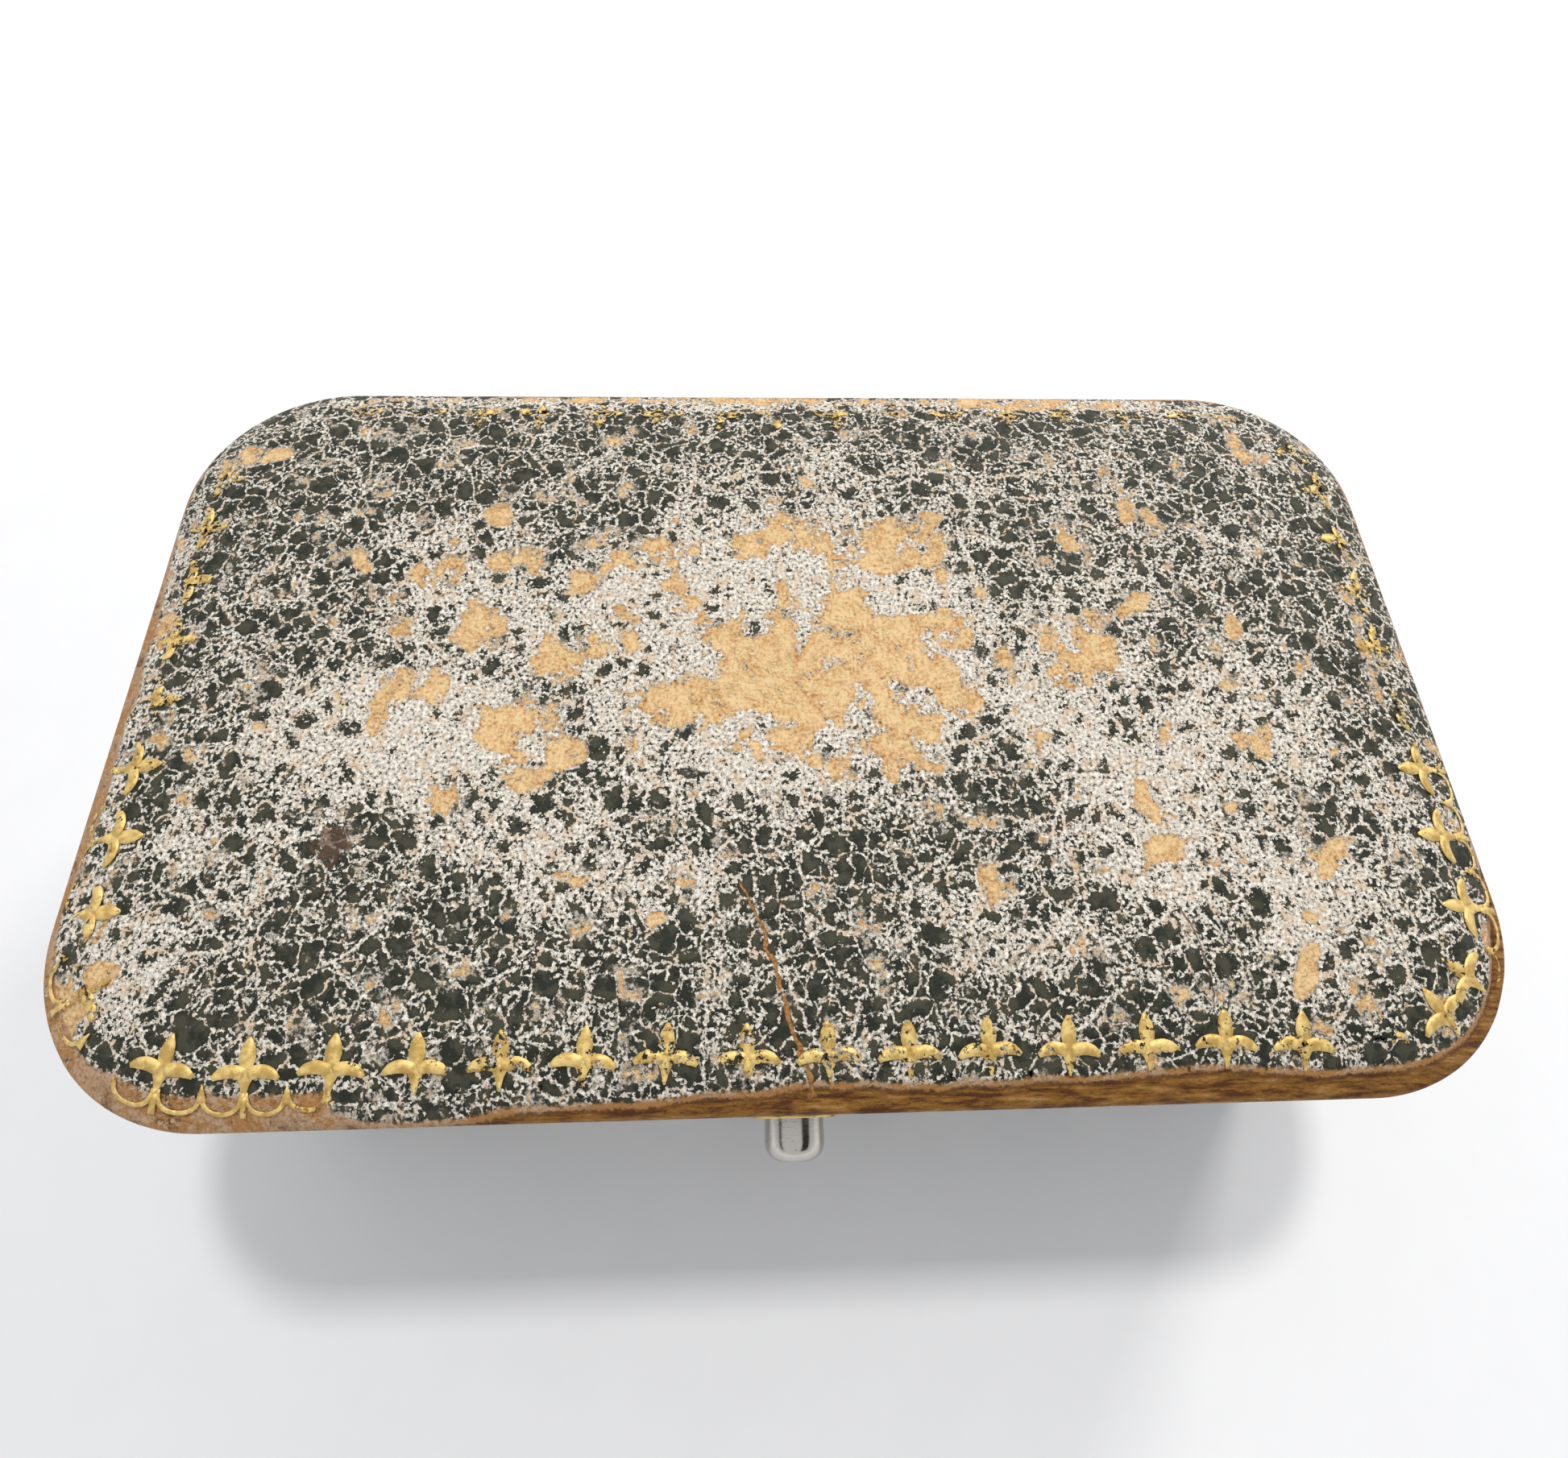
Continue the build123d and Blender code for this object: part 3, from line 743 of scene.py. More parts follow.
@dataclass(frozen=True)
class Crown:
    """The lid's top: flat in the middle, rounded over in a quarter ellipse towards the outline."""

    outline: RoundedRectangle
    shoulder: float = SHOULDER_MM
    rise_mm: float = CROWN_RISE_MM

    def lift(self, x: np.ndarray, y: np.ndarray, off_mm: float) -> np.ndarray:
        """Points above given places, standing off the crown along its normal.

        The height above the shoulder is the ellipse's, rise times the square root of one minus the squared share
        of the corner radius used up.

        Args:
            x: Places in millimetres.
            y: Places in millimetres.
            off_mm: How far to stand off.

        Returns:
            One row of X, Y and Z for each place.
        """
        o = self.outline
        run_x = np.maximum(np.abs(x) - (o.half_x - o.radius), 0.0) * np.sign(x)
        run_y = np.maximum(np.abs(y) - (o.half_y - o.radius), 0.0) * np.sign(y)
        share = np.minimum(np.hypot(run_x, run_y) / o.radius, 0.999)
        height = self.rise_mm * np.sqrt(1.0 - share**2)
        normal = np.stack([run_x / o.radius**2, run_y / o.radius**2, height / self.rise_mm**2], -1)
        normal = normal / np.linalg.norm(normal, axis=-1, keepdims=True)
        return np.stack([x, y, self.shoulder + height], -1) + normal * off_mm


# ---- Lid ----------------------------------------------------------------------------------------------------
@dataclass
class LidCover:
    """The lid's leather, in one skin over its top and down its sides, with its wear stored on its points."""

    outline: RoundedRectangle
    crown: Crown
    flat_step_mm: float = 0.36
    edge_steps: int = 30
    wall_rows: int = 6
    thickness_mm: float = 0.45
    sound_worn: float = 0.12
    worn: tuple[Patch, ...] = (
        Patch(-25, -4, 10, 5.5, 0.95), Patch(-32, -5, 6, 6, 0.72), Patch(-18, -11, 7, 4, 0.64),
        Patch(-12, -14.5, 9, 3, 0.62), Patch(-22, 6, 8, 6, 0.66), Patch(-25, 12, 7, 3.5, 0.44),
        Patch(-36, -11, 6, 6, 0.52), Patch(-41, -19, 3.5, 4, 0.66), Patch(-1, 3, 18, 13, 0.92),
        Patch(20, -1, 7, 8, 0.80), Patch(25, -11, 8, 8, 0.78), Patch(31, -4, 8, 8, 0.62), Patch(34, -17, 7, 6, 0.70),
        Patch(14, -17, 8, 4, 0.52), Patch(40, -13, 4, 9, 0.50), Patch(28, 7, 6, 4, 0.46), Patch(5, 17, 13, 5, 0.44),
        Patch(37, 11, 5, 7, 0.36), Patch(24, 18, 8, 6, 0.34), Patch(-37, 6, 7, 6, 0.34),
        Patch(0, 26.6, 46, 1.0, 0.62), Patch(-4, -20, 4, 2.5, 0.40), Patch(-46, -4, 1.5, 20, 0.55),
    )
    bare: tuple[Patch, ...] = (
        Patch(3, 0.5, 12.0, 8.0, 0.70), Patch(-4, -1.5, 5.5, 3.2, 0.60), Patch(-10, 10.5, 3.4, 1.8, 0.62),
        Patch(4, 11.5, 9.0, 3.0, 0.59), Patch(7.5, -5.0, 5.0, 3.2, 0.62), Patch(-3, 12, 3.2, 1.3, 0.60),
        Patch(1.5, 14, 2.4, 1.1, 0.58), Patch(8, 10.5, 3.5, 2.2, 0.60), Patch(11.5, 11, 1.3, 3.5, 0.58),
        Patch(-12.5, 3.8, 2.2, 2.8, 0.58), Patch(-8, 6.5, 1.6, 3, 0.56), Patch(3.5, 7, 3.5, 2.2, 0.60),
        Patch(-9, -2, 4, 2.4, 0.57), Patch(8, -7, 3, 2.5, 0.53), Patch(-15, 10, 2, 3, 0.52),
        Patch(-26, 9, 2.4, 1.8, 0.58), Patch(-22.5, 4, 2.4, 2.6, 0.58), Patch(-26, 0, 3.2, 1.7, 0.56),
        Patch(-19, -3.5, 3.6, 3.0, 0.62), Patch(-15.5, -5.5, 2.2, 1.6, 0.60), Patch(-18, -7.5, 2, 1.1, 0.57),
        Patch(-28.5, -2.5, 0.9, 2.6, 0.57), Patch(-23.5, -8.3, 1.3, 1.9, 0.58), Patch(-16.5, 2, 2, 3, 0.56),
        Patch(-20, 10, 2.4, 1.6, 0.55), Patch(-22, 14, 1.6, 1.3, 0.60), Patch(-31.5, 10.2, 1.0, 1.6, 0.58, 15),
        Patch(-41, 20.6, 2.6, 1.5, 0.60), Patch(26.9, 15.2, 1.0, 2.0, 0.60), Patch(37.8, 21.6, 1.0, 2.2, 0.60, 10),
        Patch(33.2, 3.6, 0.8, 1.8, 0.60), Patch(26.5, 6.2, 1.3, 0.9, 0.57), Patch(33.0, -5.4, 0.9, 1.7, 0.60, -10),
        Patch(27.3, 2.6, 1.0, 0.9, 0.58), Patch(23.7, -9.2, 0.9, 2.6, 0.62, 12), Patch(24.1, -13.0, 1.6, 1.2, 0.66),
        Patch(35.3, -13.9, 0.7, 1.9, 0.66, -30), Patch(33.0, -17.2, 0.7, 1.2, 0.62),
        Patch(31.9, -20.9, 0.75, 2.3, 0.66, -32), Patch(35.0, -22.5, 1.0, 2.2, 0.58, 15),
        Patch(12.2, -15.0, 1.0, 2.2, 0.56), Patch(-9.0, -16.8, 0.8, 0.6, 0.55), Patch(-36.4, -3.3, 0.6, 0.6, 0.58),
        Patch(43.2, 3.5, 0.8, 2.4, 0.56), Patch(-45.3, 5.2, 0.9, 2.6, 0.58), Patch(-42.4, -19.3, 1.3, 1.3, 0.58),
        Patch(-45.2, -22.0, 2.2, 3.6, 0.56), Patch(21.0, 2.0, 4.0, 4.5, 0.50), Patch(21.5, 11.5, 0.9, 1.2, 0.55),
        Patch(-14.0, -14.5, 0.7, 0.5, 0.55), Patch(45.5, -20.5, 1.0, 4.5, 0.53), Patch(0.0, 27.3, 40.0, 0.9, 0.50),
        Patch(22.0, 26.6, 9.0, 0.9, 0.56), Patch(0, 0, 200, 200, 0.21),
    )
    flakes: tuple[Patch, ...] = (
        Patch(-3, 6.5, 2.7, 2.6), Patch(-12, 0.8, 2.6, 1.4), Patch(-9.8, 3.5, 1.2, 2.6), Patch(5, 13.6, 2.2, 1.2),
        Patch(8.5, 5.8, 3.0, 1.4), Patch(-7, 9, 1.6, 1.4), Patch(-6, 1.3, 1.3, 1.2), Patch(4.6, -2.5, 1.0, 1.8),
        Patch(9, -2, 1.5, 1.2), Patch(-2.5, -3.2, 1.6, 0.9), Patch(2.3, -5, 1.0, 1.2), Patch(3, 1.4, 0.8, 0.5),
        Patch(10.5, -5, 2.0, 1.4), Patch(-1.0, 10.0, 1.8, 1.0), Patch(-21, -1.2, 1.6, 0.8),
    )

    def _grid(self) -> tuple[np.ndarray, np.ndarray]:
        """Places along X and along Y: even on the flat, and closing up towards the outline."""
        step = np.linspace(0.0, 1.0, self.edge_steps + 1)[1:]
        edge = 1.0 - (1.0 - step) ** 1.5
        lines = []
        for half in (self.outline.half_x, self.outline.half_y):
            flat = half - self.outline.radius
            count = int(round(2 * flat / self.flat_step_mm)) + 1
            middle = np.linspace(-flat, flat, count)
            lines.append(np.concatenate([-flat - edge[::-1], middle, flat + edge]))
        return lines[0], lines[1]

    def _rubbed(self, x: np.ndarray, y: np.ndarray, inset: np.ndarray) -> np.ndarray:
        """How far the edge is rubbed, from 0 to 1: one half is where the leather ends.

        Along the front the rubbed band widens from left to right. Elsewhere it is a thin line that wanders and
        never reaches the wood.
        """
        width = np.interp(x, [-46.0, -40.0, -27.8, -27.3, -22.0, -18.0, -8.0, 6.0, 25.0, 44.0],
                          [1.2, 2.0, 2.2, -0.6, -0.1, 0.9, 1.45, 1.85, 2.1, 1.7])
        width = width + (Cloud(3.0, 5).at(x, y) - 0.5) * 0.5
        front = 0.5 + (width * rise(y, -10.0, -19.0) - inset) / 5.0
        front = np.where(x < -27.5, np.minimum(front, 0.535), front)
        thin = 0.25 + 0.9 * Cloud(7.0, 8).at(x, y) * Cloud(2.5, 9).at(x, y)
        thin = thin + 0.8 * rise(x, -44.0, -46.0) * rise(np.abs(y + 4.0), 20.0, 8.0)
        around = np.minimum(0.5 + (thin - inset) / 5.0, 0.555)
        return np.clip(np.maximum(np.where(y < -8.0, front, 0.0), around), 0.0, 1.0)

    def _relief(self, x: np.ndarray, y: np.ndarray, bare: np.ndarray, rubbed: np.ndarray) -> np.ndarray:
        """Millimetres in or out: sunk where the leather is gone, and slightly uneven everywhere."""
        uneven = (Cloud(7.0, 1).at(x, y) - 0.5) * 0.10 + (Cloud(2.4, 2).at(x, y) - 0.5) * 0.05
        return uneven - 0.10 * rise(bare, 0.42, 0.60) - 0.16 * rise(rubbed, 0.50, 0.62)

    def build(self, material: bpy.types.Material) -> bpy.types.Object:
        """Make the skin.

        The top is the grid spread over the outline, each share of the corner radius taken as the sine of the
        ellipse's angle and the height as its cosine. The wall is the top's border let down in rows to the rim,
        or to the bevel behind the hinge.

        Args:
            material: Its finish.

        Returns:
            The new object.
        """
        across, along = np.meshgrid(*self._grid())
        base_x, base_y, (share, out_x, out_y) = self.outline.spread(across, along)
        height = np.sqrt(np.maximum(1.0 - share**2, 0.0))
        radius = self.outline.radius
        top = np.stack([base_x + out_x * share * radius, base_y + out_y * share * radius,
                        self.crown.shoulder + height * self.crown.rise_mm], -1)
        normal = np.stack([out_x * share / radius, out_y * share / radius, height / self.crown.rise_mm], -1)
        inset = np.where(share > 0, radius * (1.0 - share), radius)
        rows, columns = across.shape
        number = np.arange(rows * columns).reshape(rows, columns)
        border = np.concatenate([number[0, :-1], number[:-1, -1], number[-1, :0:-1], number[:0:-1, 0]])
        top, normal, inset = top.reshape(-1, 3), normal.reshape(-1, 3), inset.ravel()
        rim = top[border]
        behind = SEAM_MM + BEVEL_SLOPE * (rim[:, 1] - HINGE_AXIS_Y_MM)
        floor = np.maximum(LID_LEATHER_BOTTOM_MM, behind)
        down = np.linspace(0.0, 1.0, self.wall_rows + 1)[1:, None] ** 1.6
        wall_z = rim[None, :, 2] + (floor - rim[:, 2])[None, :] * down
        wall = np.stack([*(np.broadcast_to(rim[:, axis], wall_z.shape) for axis in (0, 1)), wall_z], -1)
        wall_normal = np.broadcast_to(normal[border], wall.shape)
        points = np.concatenate([top, wall.reshape(-1, 3)])
        normals = np.concatenate([normal, wall_normal.reshape(-1, 3)])
        normals = normals / np.linalg.norm(normals, axis=1, keepdims=True)
        depth = np.concatenate([inset, (self.crown.shoulder - wall_z).ravel()])
        x, y = points[:, 0], points[:, 1]
        bare = strongest(self.bare, x, y) - 0.24 * strongest(self.flakes, x, y)
        rubbed = self._rubbed(x, y, depth)
        worn = np.maximum(strongest(self.worn, x, y), self.sound_worn) + (Cloud(4.0, 3).at(x, y) - 0.5) * 0.36
        calm = rise(depth, 0.0, 0.8) * rise(points[:, 2], LID_LEATHER_BOTTOM_MM, LID_LEATHER_BOTTOM_MM + 1.0)
        points = points + normals * (self._relief(x, y, bare, rubbed) - 0.06)[:, None] * np.maximum(calm, 0.25)[:, None]
        first_wall = rows * columns
        count = len(border)
        ring = np.arange(count)
        upper = np.concatenate([border, first_wall + np.arange(count * (self.wall_rows - 1))]).reshape(-1, count)
        lower = first_wall + np.arange(count * self.wall_rows).reshape(-1, count)
        beside = np.roll(ring, -1)
        wall_faces = np.stack([upper, lower, lower[:, beside], upper[:, beside]], -1).reshape(-1, 4)
        faces = np.concatenate([grid_faces(rows, columns), wall_faces])
        drop = np.concatenate([np.zeros(len(top)), (self.crown.shoulder - wall_z).ravel()])
        skin = np.stack([x + normals[:, 0] * drop, y + normals[:, 1] * drop, np.zeros(len(x))], -1)
        numbers = {"worn": np.clip(worn, 0.0, 1.0), "bare": bare, "rubbed": rubbed, "skin": skin}
        cover = make_piece("lid_leather_cover", points, faces, material, "lid", numbers)
        thicken(cover, self.thickness_mm)
        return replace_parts(cover, "lid_top_leather", "lid_side_leather")


@dataclass(frozen=True)
class Stroke:
    """A leaf-shaped mark on the border: a curved line that swells and thins, in the stamp's own millimetres.

    u runs along the border and v inwards from its line. The line is a quadratic curve through three control
    points, and its half width is a smooth curve through widths at even steps.
    """

    points: tuple[tuple[float, float], tuple[float, float], tuple[float, float]]
    half_widths: tuple[float, ...]
    steps: int = 9

    def outline(self) -> tuple[np.ndarray, np.ndarray]:
        """The mark's grid of u and v, three points across and steps long."""
        t = np.linspace(0.0, 1.0, self.steps)[:, None]
        a, b, c = (np.array(p) for p in self.points)
        line = (1 - t) ** 2 * a + 2 * t * (1 - t) * b + t**2 * c
        along = 2 * (1 - t) * (b - a) + 2 * t * (c - b)
        side = np.stack([-along[:, 1], along[:, 0]], -1) / np.linalg.norm(along, axis=1, keepdims=True)
        width = np.interp(t[:, 0], np.linspace(0, 1, len(self.half_widths)), self.half_widths)[:, None]
        grid = np.stack([line - side * width, line, line + side * width], 1)
        return grid[..., 0], grid[..., 1]


@dataclass(frozen=True)
class StampRow:
    """Tool marks at an even pitch along the border, by distance walked from the middle of the front."""

    first_mm: float
    count: int

    def places(self, pitch_mm: float) -> np.ndarray:
        """Where each mark stands."""
        return self.first_mm + pitch_mm * np.arange(self.count)


@dataclass
class GiltBorder:
    """Gold-leaf border near the lid's outline: fleurs-de-lis, heads inwards, on a chain of small loops."""

    crown: Crown
    inset_mm: float = 3.2
    pitch_mm: float = 4.888
    lift_mm: float = 0.045
    leaf_mm: float = 0.03
    rows: tuple[StampRow, ...] = (StampRow(-37.6, 17), StampRow(43.85, 10), StampRow(92.9, 16), StampRow(174.1, 10))
    fleur: tuple[Stroke, ...] = (
        Stroke(((0.0, 0.0), (0.0, 0.95), (0.0, 2.1)), (0.36, 0.40, 0.50, 0.40, 0.08)),
        Stroke(((0.0, 0.25), (0.0, -0.6), (0.0, -1.35)), (0.50, 0.46, 0.26, 0.16, 0.06)),
        Stroke(((0.1, 0.0), (1.05, 0.50), (1.90, -0.22)), (0.34, 0.38, 0.38, 0.32, 0.14)),
        Stroke(((-0.1, 0.0), (-1.05, 0.50), (-1.90, -0.22)), (0.34, 0.38, 0.38, 0.32, 0.14)),
    )
    loops: tuple[Stroke, ...] = (
        Stroke(((0.08, -0.95), (0.15, -2.1), (1.22, -2.1)), (0.16, 0.13, 0.12, 0.12)),
        Stroke(((1.22, -2.1), (2.30, -2.1), (2.38, -1.05)), (0.12, 0.12, 0.13, 0.15)),
        Stroke(((-0.08, -0.95), (-0.15, -2.1), (-1.22, -2.1)), (0.16, 0.13, 0.12, 0.12)),
        Stroke(((-1.22, -2.1), (-2.30, -2.1), (-2.38, -1.05)), (0.12, 0.12, 0.13, 0.15)),
        Stroke(((2.444, -1.6), (2.444, -1.2), (2.444, -0.6)), (0.26, 0.18, 0.02), 4),
        Stroke(((0.0, -1.2), (0.0, -1.6), (0.0, -2.3)), (0.14, 0.15, 0.16), 4),
    )
    bright: tuple[Patch, ...] = (
        Patch(-33, -25, 14, 4, 0.72), Patch(-12, -25, 12, 4, 0.55), Patch(2, -25, 9, 4, 0.54),
        Patch(14, -25, 10, 4, 0.56), Patch(27, -25, 9, 4, 0.60), Patch(44, -14, 5, 12, 0.66),
        Patch(41, -23, 6, 4, 0.60), Patch(-44, -11, 5, 10, 0.60), Patch(-44, 8, 5, 14, 0.50),
        Patch(44, 10, 5, 16, 0.48), Patch(0, 25, 48, 5, 0.42), Patch(-41, -23, 5, 4, 0.56),
    )
    loop_bright: tuple[Patch, ...] = (
        Patch(-35, -26.6, 8, 2.5, 0.66), Patch(46, -14, 4, 9, 0.62), Patch(-44, -22, 5, 5, 0.56),
        Patch(-46, -10, 4, 10, 0.40), Patch(0, 0, 200, 200, 0.24),
    )

    def _marks(self, strokes: tuple[Stroke, ...], places: np.ndarray) -> tuple[np.ndarray, np.ndarray]:
        """Lay strokes at every place along the border.

        Args:
            strokes: The marks of one stamp.
            places: Where the stamps stand.

        Returns:
            The points, and the faces.
        """
        line = RoundedRectangle(self.crown.outline.half_x - self.inset_mm, self.crown.outline.half_y - self.inset_mm,
                                self.crown.outline.radius - self.inset_mm)
        rng = np.random.default_rng(17)
        points, faces, total = [], [], 0
        for place in places:
            tilt, shift = rng.normal(0.0, 0.03), rng.normal(0.0, 0.06)
            for layer, stroke in enumerate(strokes):
                u, v = stroke.outline()
                turned_u, turned_v = u - tilt * v, v + tilt * u + shift
                x, y, out_x, out_y = line.path(place + turned_u)
                laid = self.crown.lift(x - out_x * turned_v, y - out_y * turned_v, self.lift_mm + 0.004 * layer)
                rows, columns = u.shape
                quads = grid_faces(rows, columns, total)
                corners = laid.reshape(-1, 3)[(quads - total)[0]]
                upward = np.cross(corners[1] - corners[0], corners[2] - corners[0])[2] > 0
                faces.append(quads if upward else quads[:, ::-1])
                points.append(laid.reshape(-1, 3))
                total += rows * columns
        return np.concatenate(points), np.concatenate(faces)

    def build(self, material: bpy.types.Material) -> list[bpy.types.Object]:
        """Make the fleurs-de-lis and the chain of loops.

        Args:
            material: Gold leaf.

        Returns:
            The two new objects.
        """
        places = np.concatenate([row.places(self.pitch_mm) for row in self.rows])
        made = []
        for name, strokes, bright in (("gilt_fleurs_de_lis", self.fleur, self.bright),
                                      ("gilt_loop_chain", self.loops, self.loop_bright)):
            points, faces = self._marks(strokes, places)
            kept = strongest(bright, points[:, 0], points[:, 1])
            piece = make_piece(name, points, faces, material, "lid", {"kept": kept})
            thicken(piece, self.leaf_mm)
            made.append(piece)
        return made


# ---- Padding ------------------------------------------------------------------------------------------------
@dataclass
class Pad:
    """A padded panel that fills the space of a plain solid, puffed up by a cloth simulation."""

    name: str
    node: str
    body: str
    slot: str
    radius_mm: float
    faces_down: bool
    fill: float
    voxel_mm: float = 0.9
    start_share: float = 0.72
    puff_cap_mm: float = 1.2
    spread_mm: float = 0.0
    blow_up: float = 10.0
    held_share: float = 0.6
    pressure: float = 4.0
    quality: int = 6
    frames: int = 20

    def _start(self) -> tuple[np.ndarray, np.ndarray, np.ndarray, np.ndarray]:
        """A thin, crowned slab inside the solid's box, glued side down.

        Its top falls towards the outline as a quarter ellipse of one and a half times the pad's height.

        Returns:
            The points and faces, and the box's low and high corners, all in millimetres.
        """
        low, high = (np.array(corner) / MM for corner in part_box(self.node))
        outline = RoundedRectangle((high[0] - low[0]) / 2, (high[1] - low[1]) / 2, self.radius_mm)
        step = np.linspace(0.0, 1.0, 9)[1:]
        lines = []
        for half in (outline.half_x, outline.half_y):
            flat = half - outline.radius
            middle = np.linspace(-flat, flat, max(3, int(2 * flat / self.voxel_mm)))
            lines.append(np.concatenate([-flat - step[::-1], middle, flat + step]))
        across, along = np.meshgrid(*lines)
        base_x, base_y, (share, out_x, out_y) = outline.spread(across, along)
        x = base_x + out_x * share * outline.radius
        y = base_y + out_y * share * outline.radius
        height = (high[2] - low[2]) * self.start_share
        up = height * (0.35 + 0.65 * np.sqrt(1.0 - (share * 0.995) ** 2))
        rows, columns = across.shape
        number = np.arange(rows * columns).reshape(rows, columns)
        border = np.concatenate([number[0, :-1], number[:-1, -1], number[-1, :0:-1], number[:0:-1, 0]])
        above = np.stack([x, y, up], -1).reshape(-1, 3)
        below = np.stack([x, y, np.zeros_like(x)], -1).reshape(-1, 3)
        faces = grid_faces(rows, columns)
        beside = np.roll(border, -1)
        walls = np.stack([border, border + len(above), beside + len(above), beside], -1)
        return np.concatenate([above, below]), np.concatenate([faces, faces[:, ::-1] + len(above), walls]), low, high

    def _simulate(self, piece: bpy.types.Object) -> None:
        """Blow the cover up with its underside held, at a larger scale so that the cloth's own settings suit."""
        for other in bpy.context.selected_objects:
            other.select_set(False)
        bpy.context.view_layer.objects.active = piece
        piece.select_set(True)
        remesh = piece.modifiers.new("remesh", "REMESH")
        remesh.mode = "VOXEL"
        remesh.voxel_size = self.voxel_mm * MM * self.blow_up
        bpy.ops.object.modifier_apply(modifier=remesh.name)
        before = self._read(piece)
        held = piece.vertex_groups.new(name="held")
        low = np.flatnonzero(before[:, 2] < self.voxel_mm * MM * self.blow_up * self.held_share)
        held.add(low.tolist(), 1.0, "REPLACE")
        cloth = piece.modifiers.new("cloth", "CLOTH")
        cloth.settings.quality = self.quality
        cloth.settings.vertex_group_mass = held.name
        cloth.settings.use_pressure = True
        cloth.settings.uniform_pressure_force = self.pressure
        cloth.settings.effector_weights.gravity = 0.0
        cloth.collision_settings.use_collision = False
        cloth.point_cache.frame_end = self.frames
        for number in range(1, self.frames + 1):
            bpy.context.scene.frame_set(number)
        bpy.ops.object.modifier_apply(modifier=cloth.name)
        after = self._read(piece)
        moved = after - before
        size = np.linalg.norm(moved, axis=1, keepdims=True)
        cap = self.puff_cap_mm * MM * self.blow_up
        moved = moved * np.minimum(1.0, cap / np.maximum(size, 1e-9))
        self._write(piece, before + moved)
        piece.vertex_groups.clear()
        bpy.context.scene.frame_set(1)

    @staticmethod
    def _refine(piece: bpy.types.Object) -> None:
        """Subdivide the mesh once, so that it can carry finer folds."""
        bpy.context.view_layer.objects.active = piece
        finer = piece.modifiers.new("finer", "SUBSURF")
        finer.levels = finer.render_levels = 1
        bpy.ops.object.modifier_apply(modifier=finer.name)

    @staticmethod
    def _read(piece: bpy.types.Object) -> np.ndarray:
        """The piece's points, one row each."""
        flat = np.zeros(len(piece.data.vertices) * 3)
        piece.data.vertices.foreach_get("co", flat)
        return flat.reshape(-1, 3)

    @staticmethod
    def _write(piece: bpy.types.Object, points: np.ndarray) -> None:
        """Put the piece's points back."""
        piece.data.vertices.foreach_set("co", points.astype(np.float32).ravel())
        piece.data.update()

    def _dress(self, local: np.ndarray, half: np.ndarray) -> np.ndarray:
        """Extra height in millimetres at each point, worked out after the simulation. A plain pad has none."""
        return np.zeros(len(local))

    def build(self, material: bpy.types.Material) -> bpy.types.Object:
        """Make the pad, fitted to its solid's box.

        Args:
            material: Its cloth.

        Returns:
            The new object.
        """
        start, faces, low, high = self._start()
        mesh = bpy.data.meshes.new(self.name)
        mesh.from_pydata((start * MM * self.blow_up).tolist(), [], faces.tolist())
        mesh.materials.append(material)
        piece = bpy.data.objects.new(self.name, mesh)
        bpy.context.scene.collection.objects.link(piece)
        self._simulate(piece)
        self._refine(piece)
        local = self._read(piece) / (MM * self.blow_up)
        half = (high - low) / 2
        reach = np.abs(local).max(0)
        for axis in (0, 1):
            local[:, axis] *= (half[axis] + self.spread_mm) / reach[axis]
        local[:, 2] = np.maximum(local[:, 2], 0.0)
        local[:, 2] *= (high[2] - low[2]) / local[:, 2].max()
        local[:, 2] = np.maximum(local[:, 2] + self._dress(local, half), 0.0)
        if self.faces_down:
            local = local * (1.0, -1.0, -1.0)
        middle = (low + high) / 2
        ground = high[2] if self.faces_down else low[2]
        self._write(piece, (local + (middle[0], middle[1], ground)) * MM)
        mesh = piece.data
        mesh.shade_smooth()
        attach(piece, self.body)
        log.info("%s: %d faces on %s", self.name, len(mesh.polygons), self.body)
        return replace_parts(piece, self.node)


@dataclass
class JewelPad(Pad):
    """The velvet pad in the base, with a pressed slot for a brooch pin."""

    slot_half_mm: float = 11.5
    slot_depth_mm: float = 2.6

    def _dress(self, local: np.ndarray, half: np.ndarray) -> np.ndarray:
        """A crown that falls away towards the edge, a trench along X with rolled lips, and slight hollows."""
        x, y, z = local.T
        inset = np.minimum(half[0] - np.abs(x), half[1] - np.abs(y))
        crown = -0.9 * rise(inset, 11.0, -1.0) ** 2
        upper = rise(z, half[2] * 0.9, half[2] * 1.7)
        ends = rise(np.abs(x), self.slot_half_mm + 0.8, self.slot_half_mm - 0.8)
        trench = -self.slot_depth_mm * np.exp(-((y / 0.75) ** 2)) * ends
        lips = -0.35 * np.exp(-(((np.abs(y) - 0.2) / 2.2) ** 2)) * ends
        hollows = (Cloud(9.0, 21).at(x, y) - 0.75) * 0.45
        return upper * (crown + trench + lips + hollows)


@dataclass
class LidPad(Pad):
    """The satin pad in the lid, gathered all round its edge."""

    def _dress(self, local: np.ndarray, half: np.ndarray) -> np.ndarray:
        """Gathers that run in from the edge: round folds with sharp valleys, the size of a sine of the angle about
        the middle, which die away inwards at uneven lengths."""
        x, y, z = local.T
        inset = np.minimum(half[0] - np.abs(x), half[1] - np.abs(y))
        angle = np.arctan2(y / half[1], x / half[0])
        wander = Cloud(7.0, 31).at(x, y)
        folds = np.abs(np.sin(angle * 46.0 + wander * 4.0))
        upper = rise(z, half[2] * 0.4, half[2] * 1.0)
        reach = rise(inset, 3.0 + 9.0 * wander, 0.3)
        soft = (Cloud(10.0, 33).at(x, y) - 1.0) * 0.40
        return upper * ((folds - 1.0) * 0.55 * reach * (0.5 + wander) + soft)


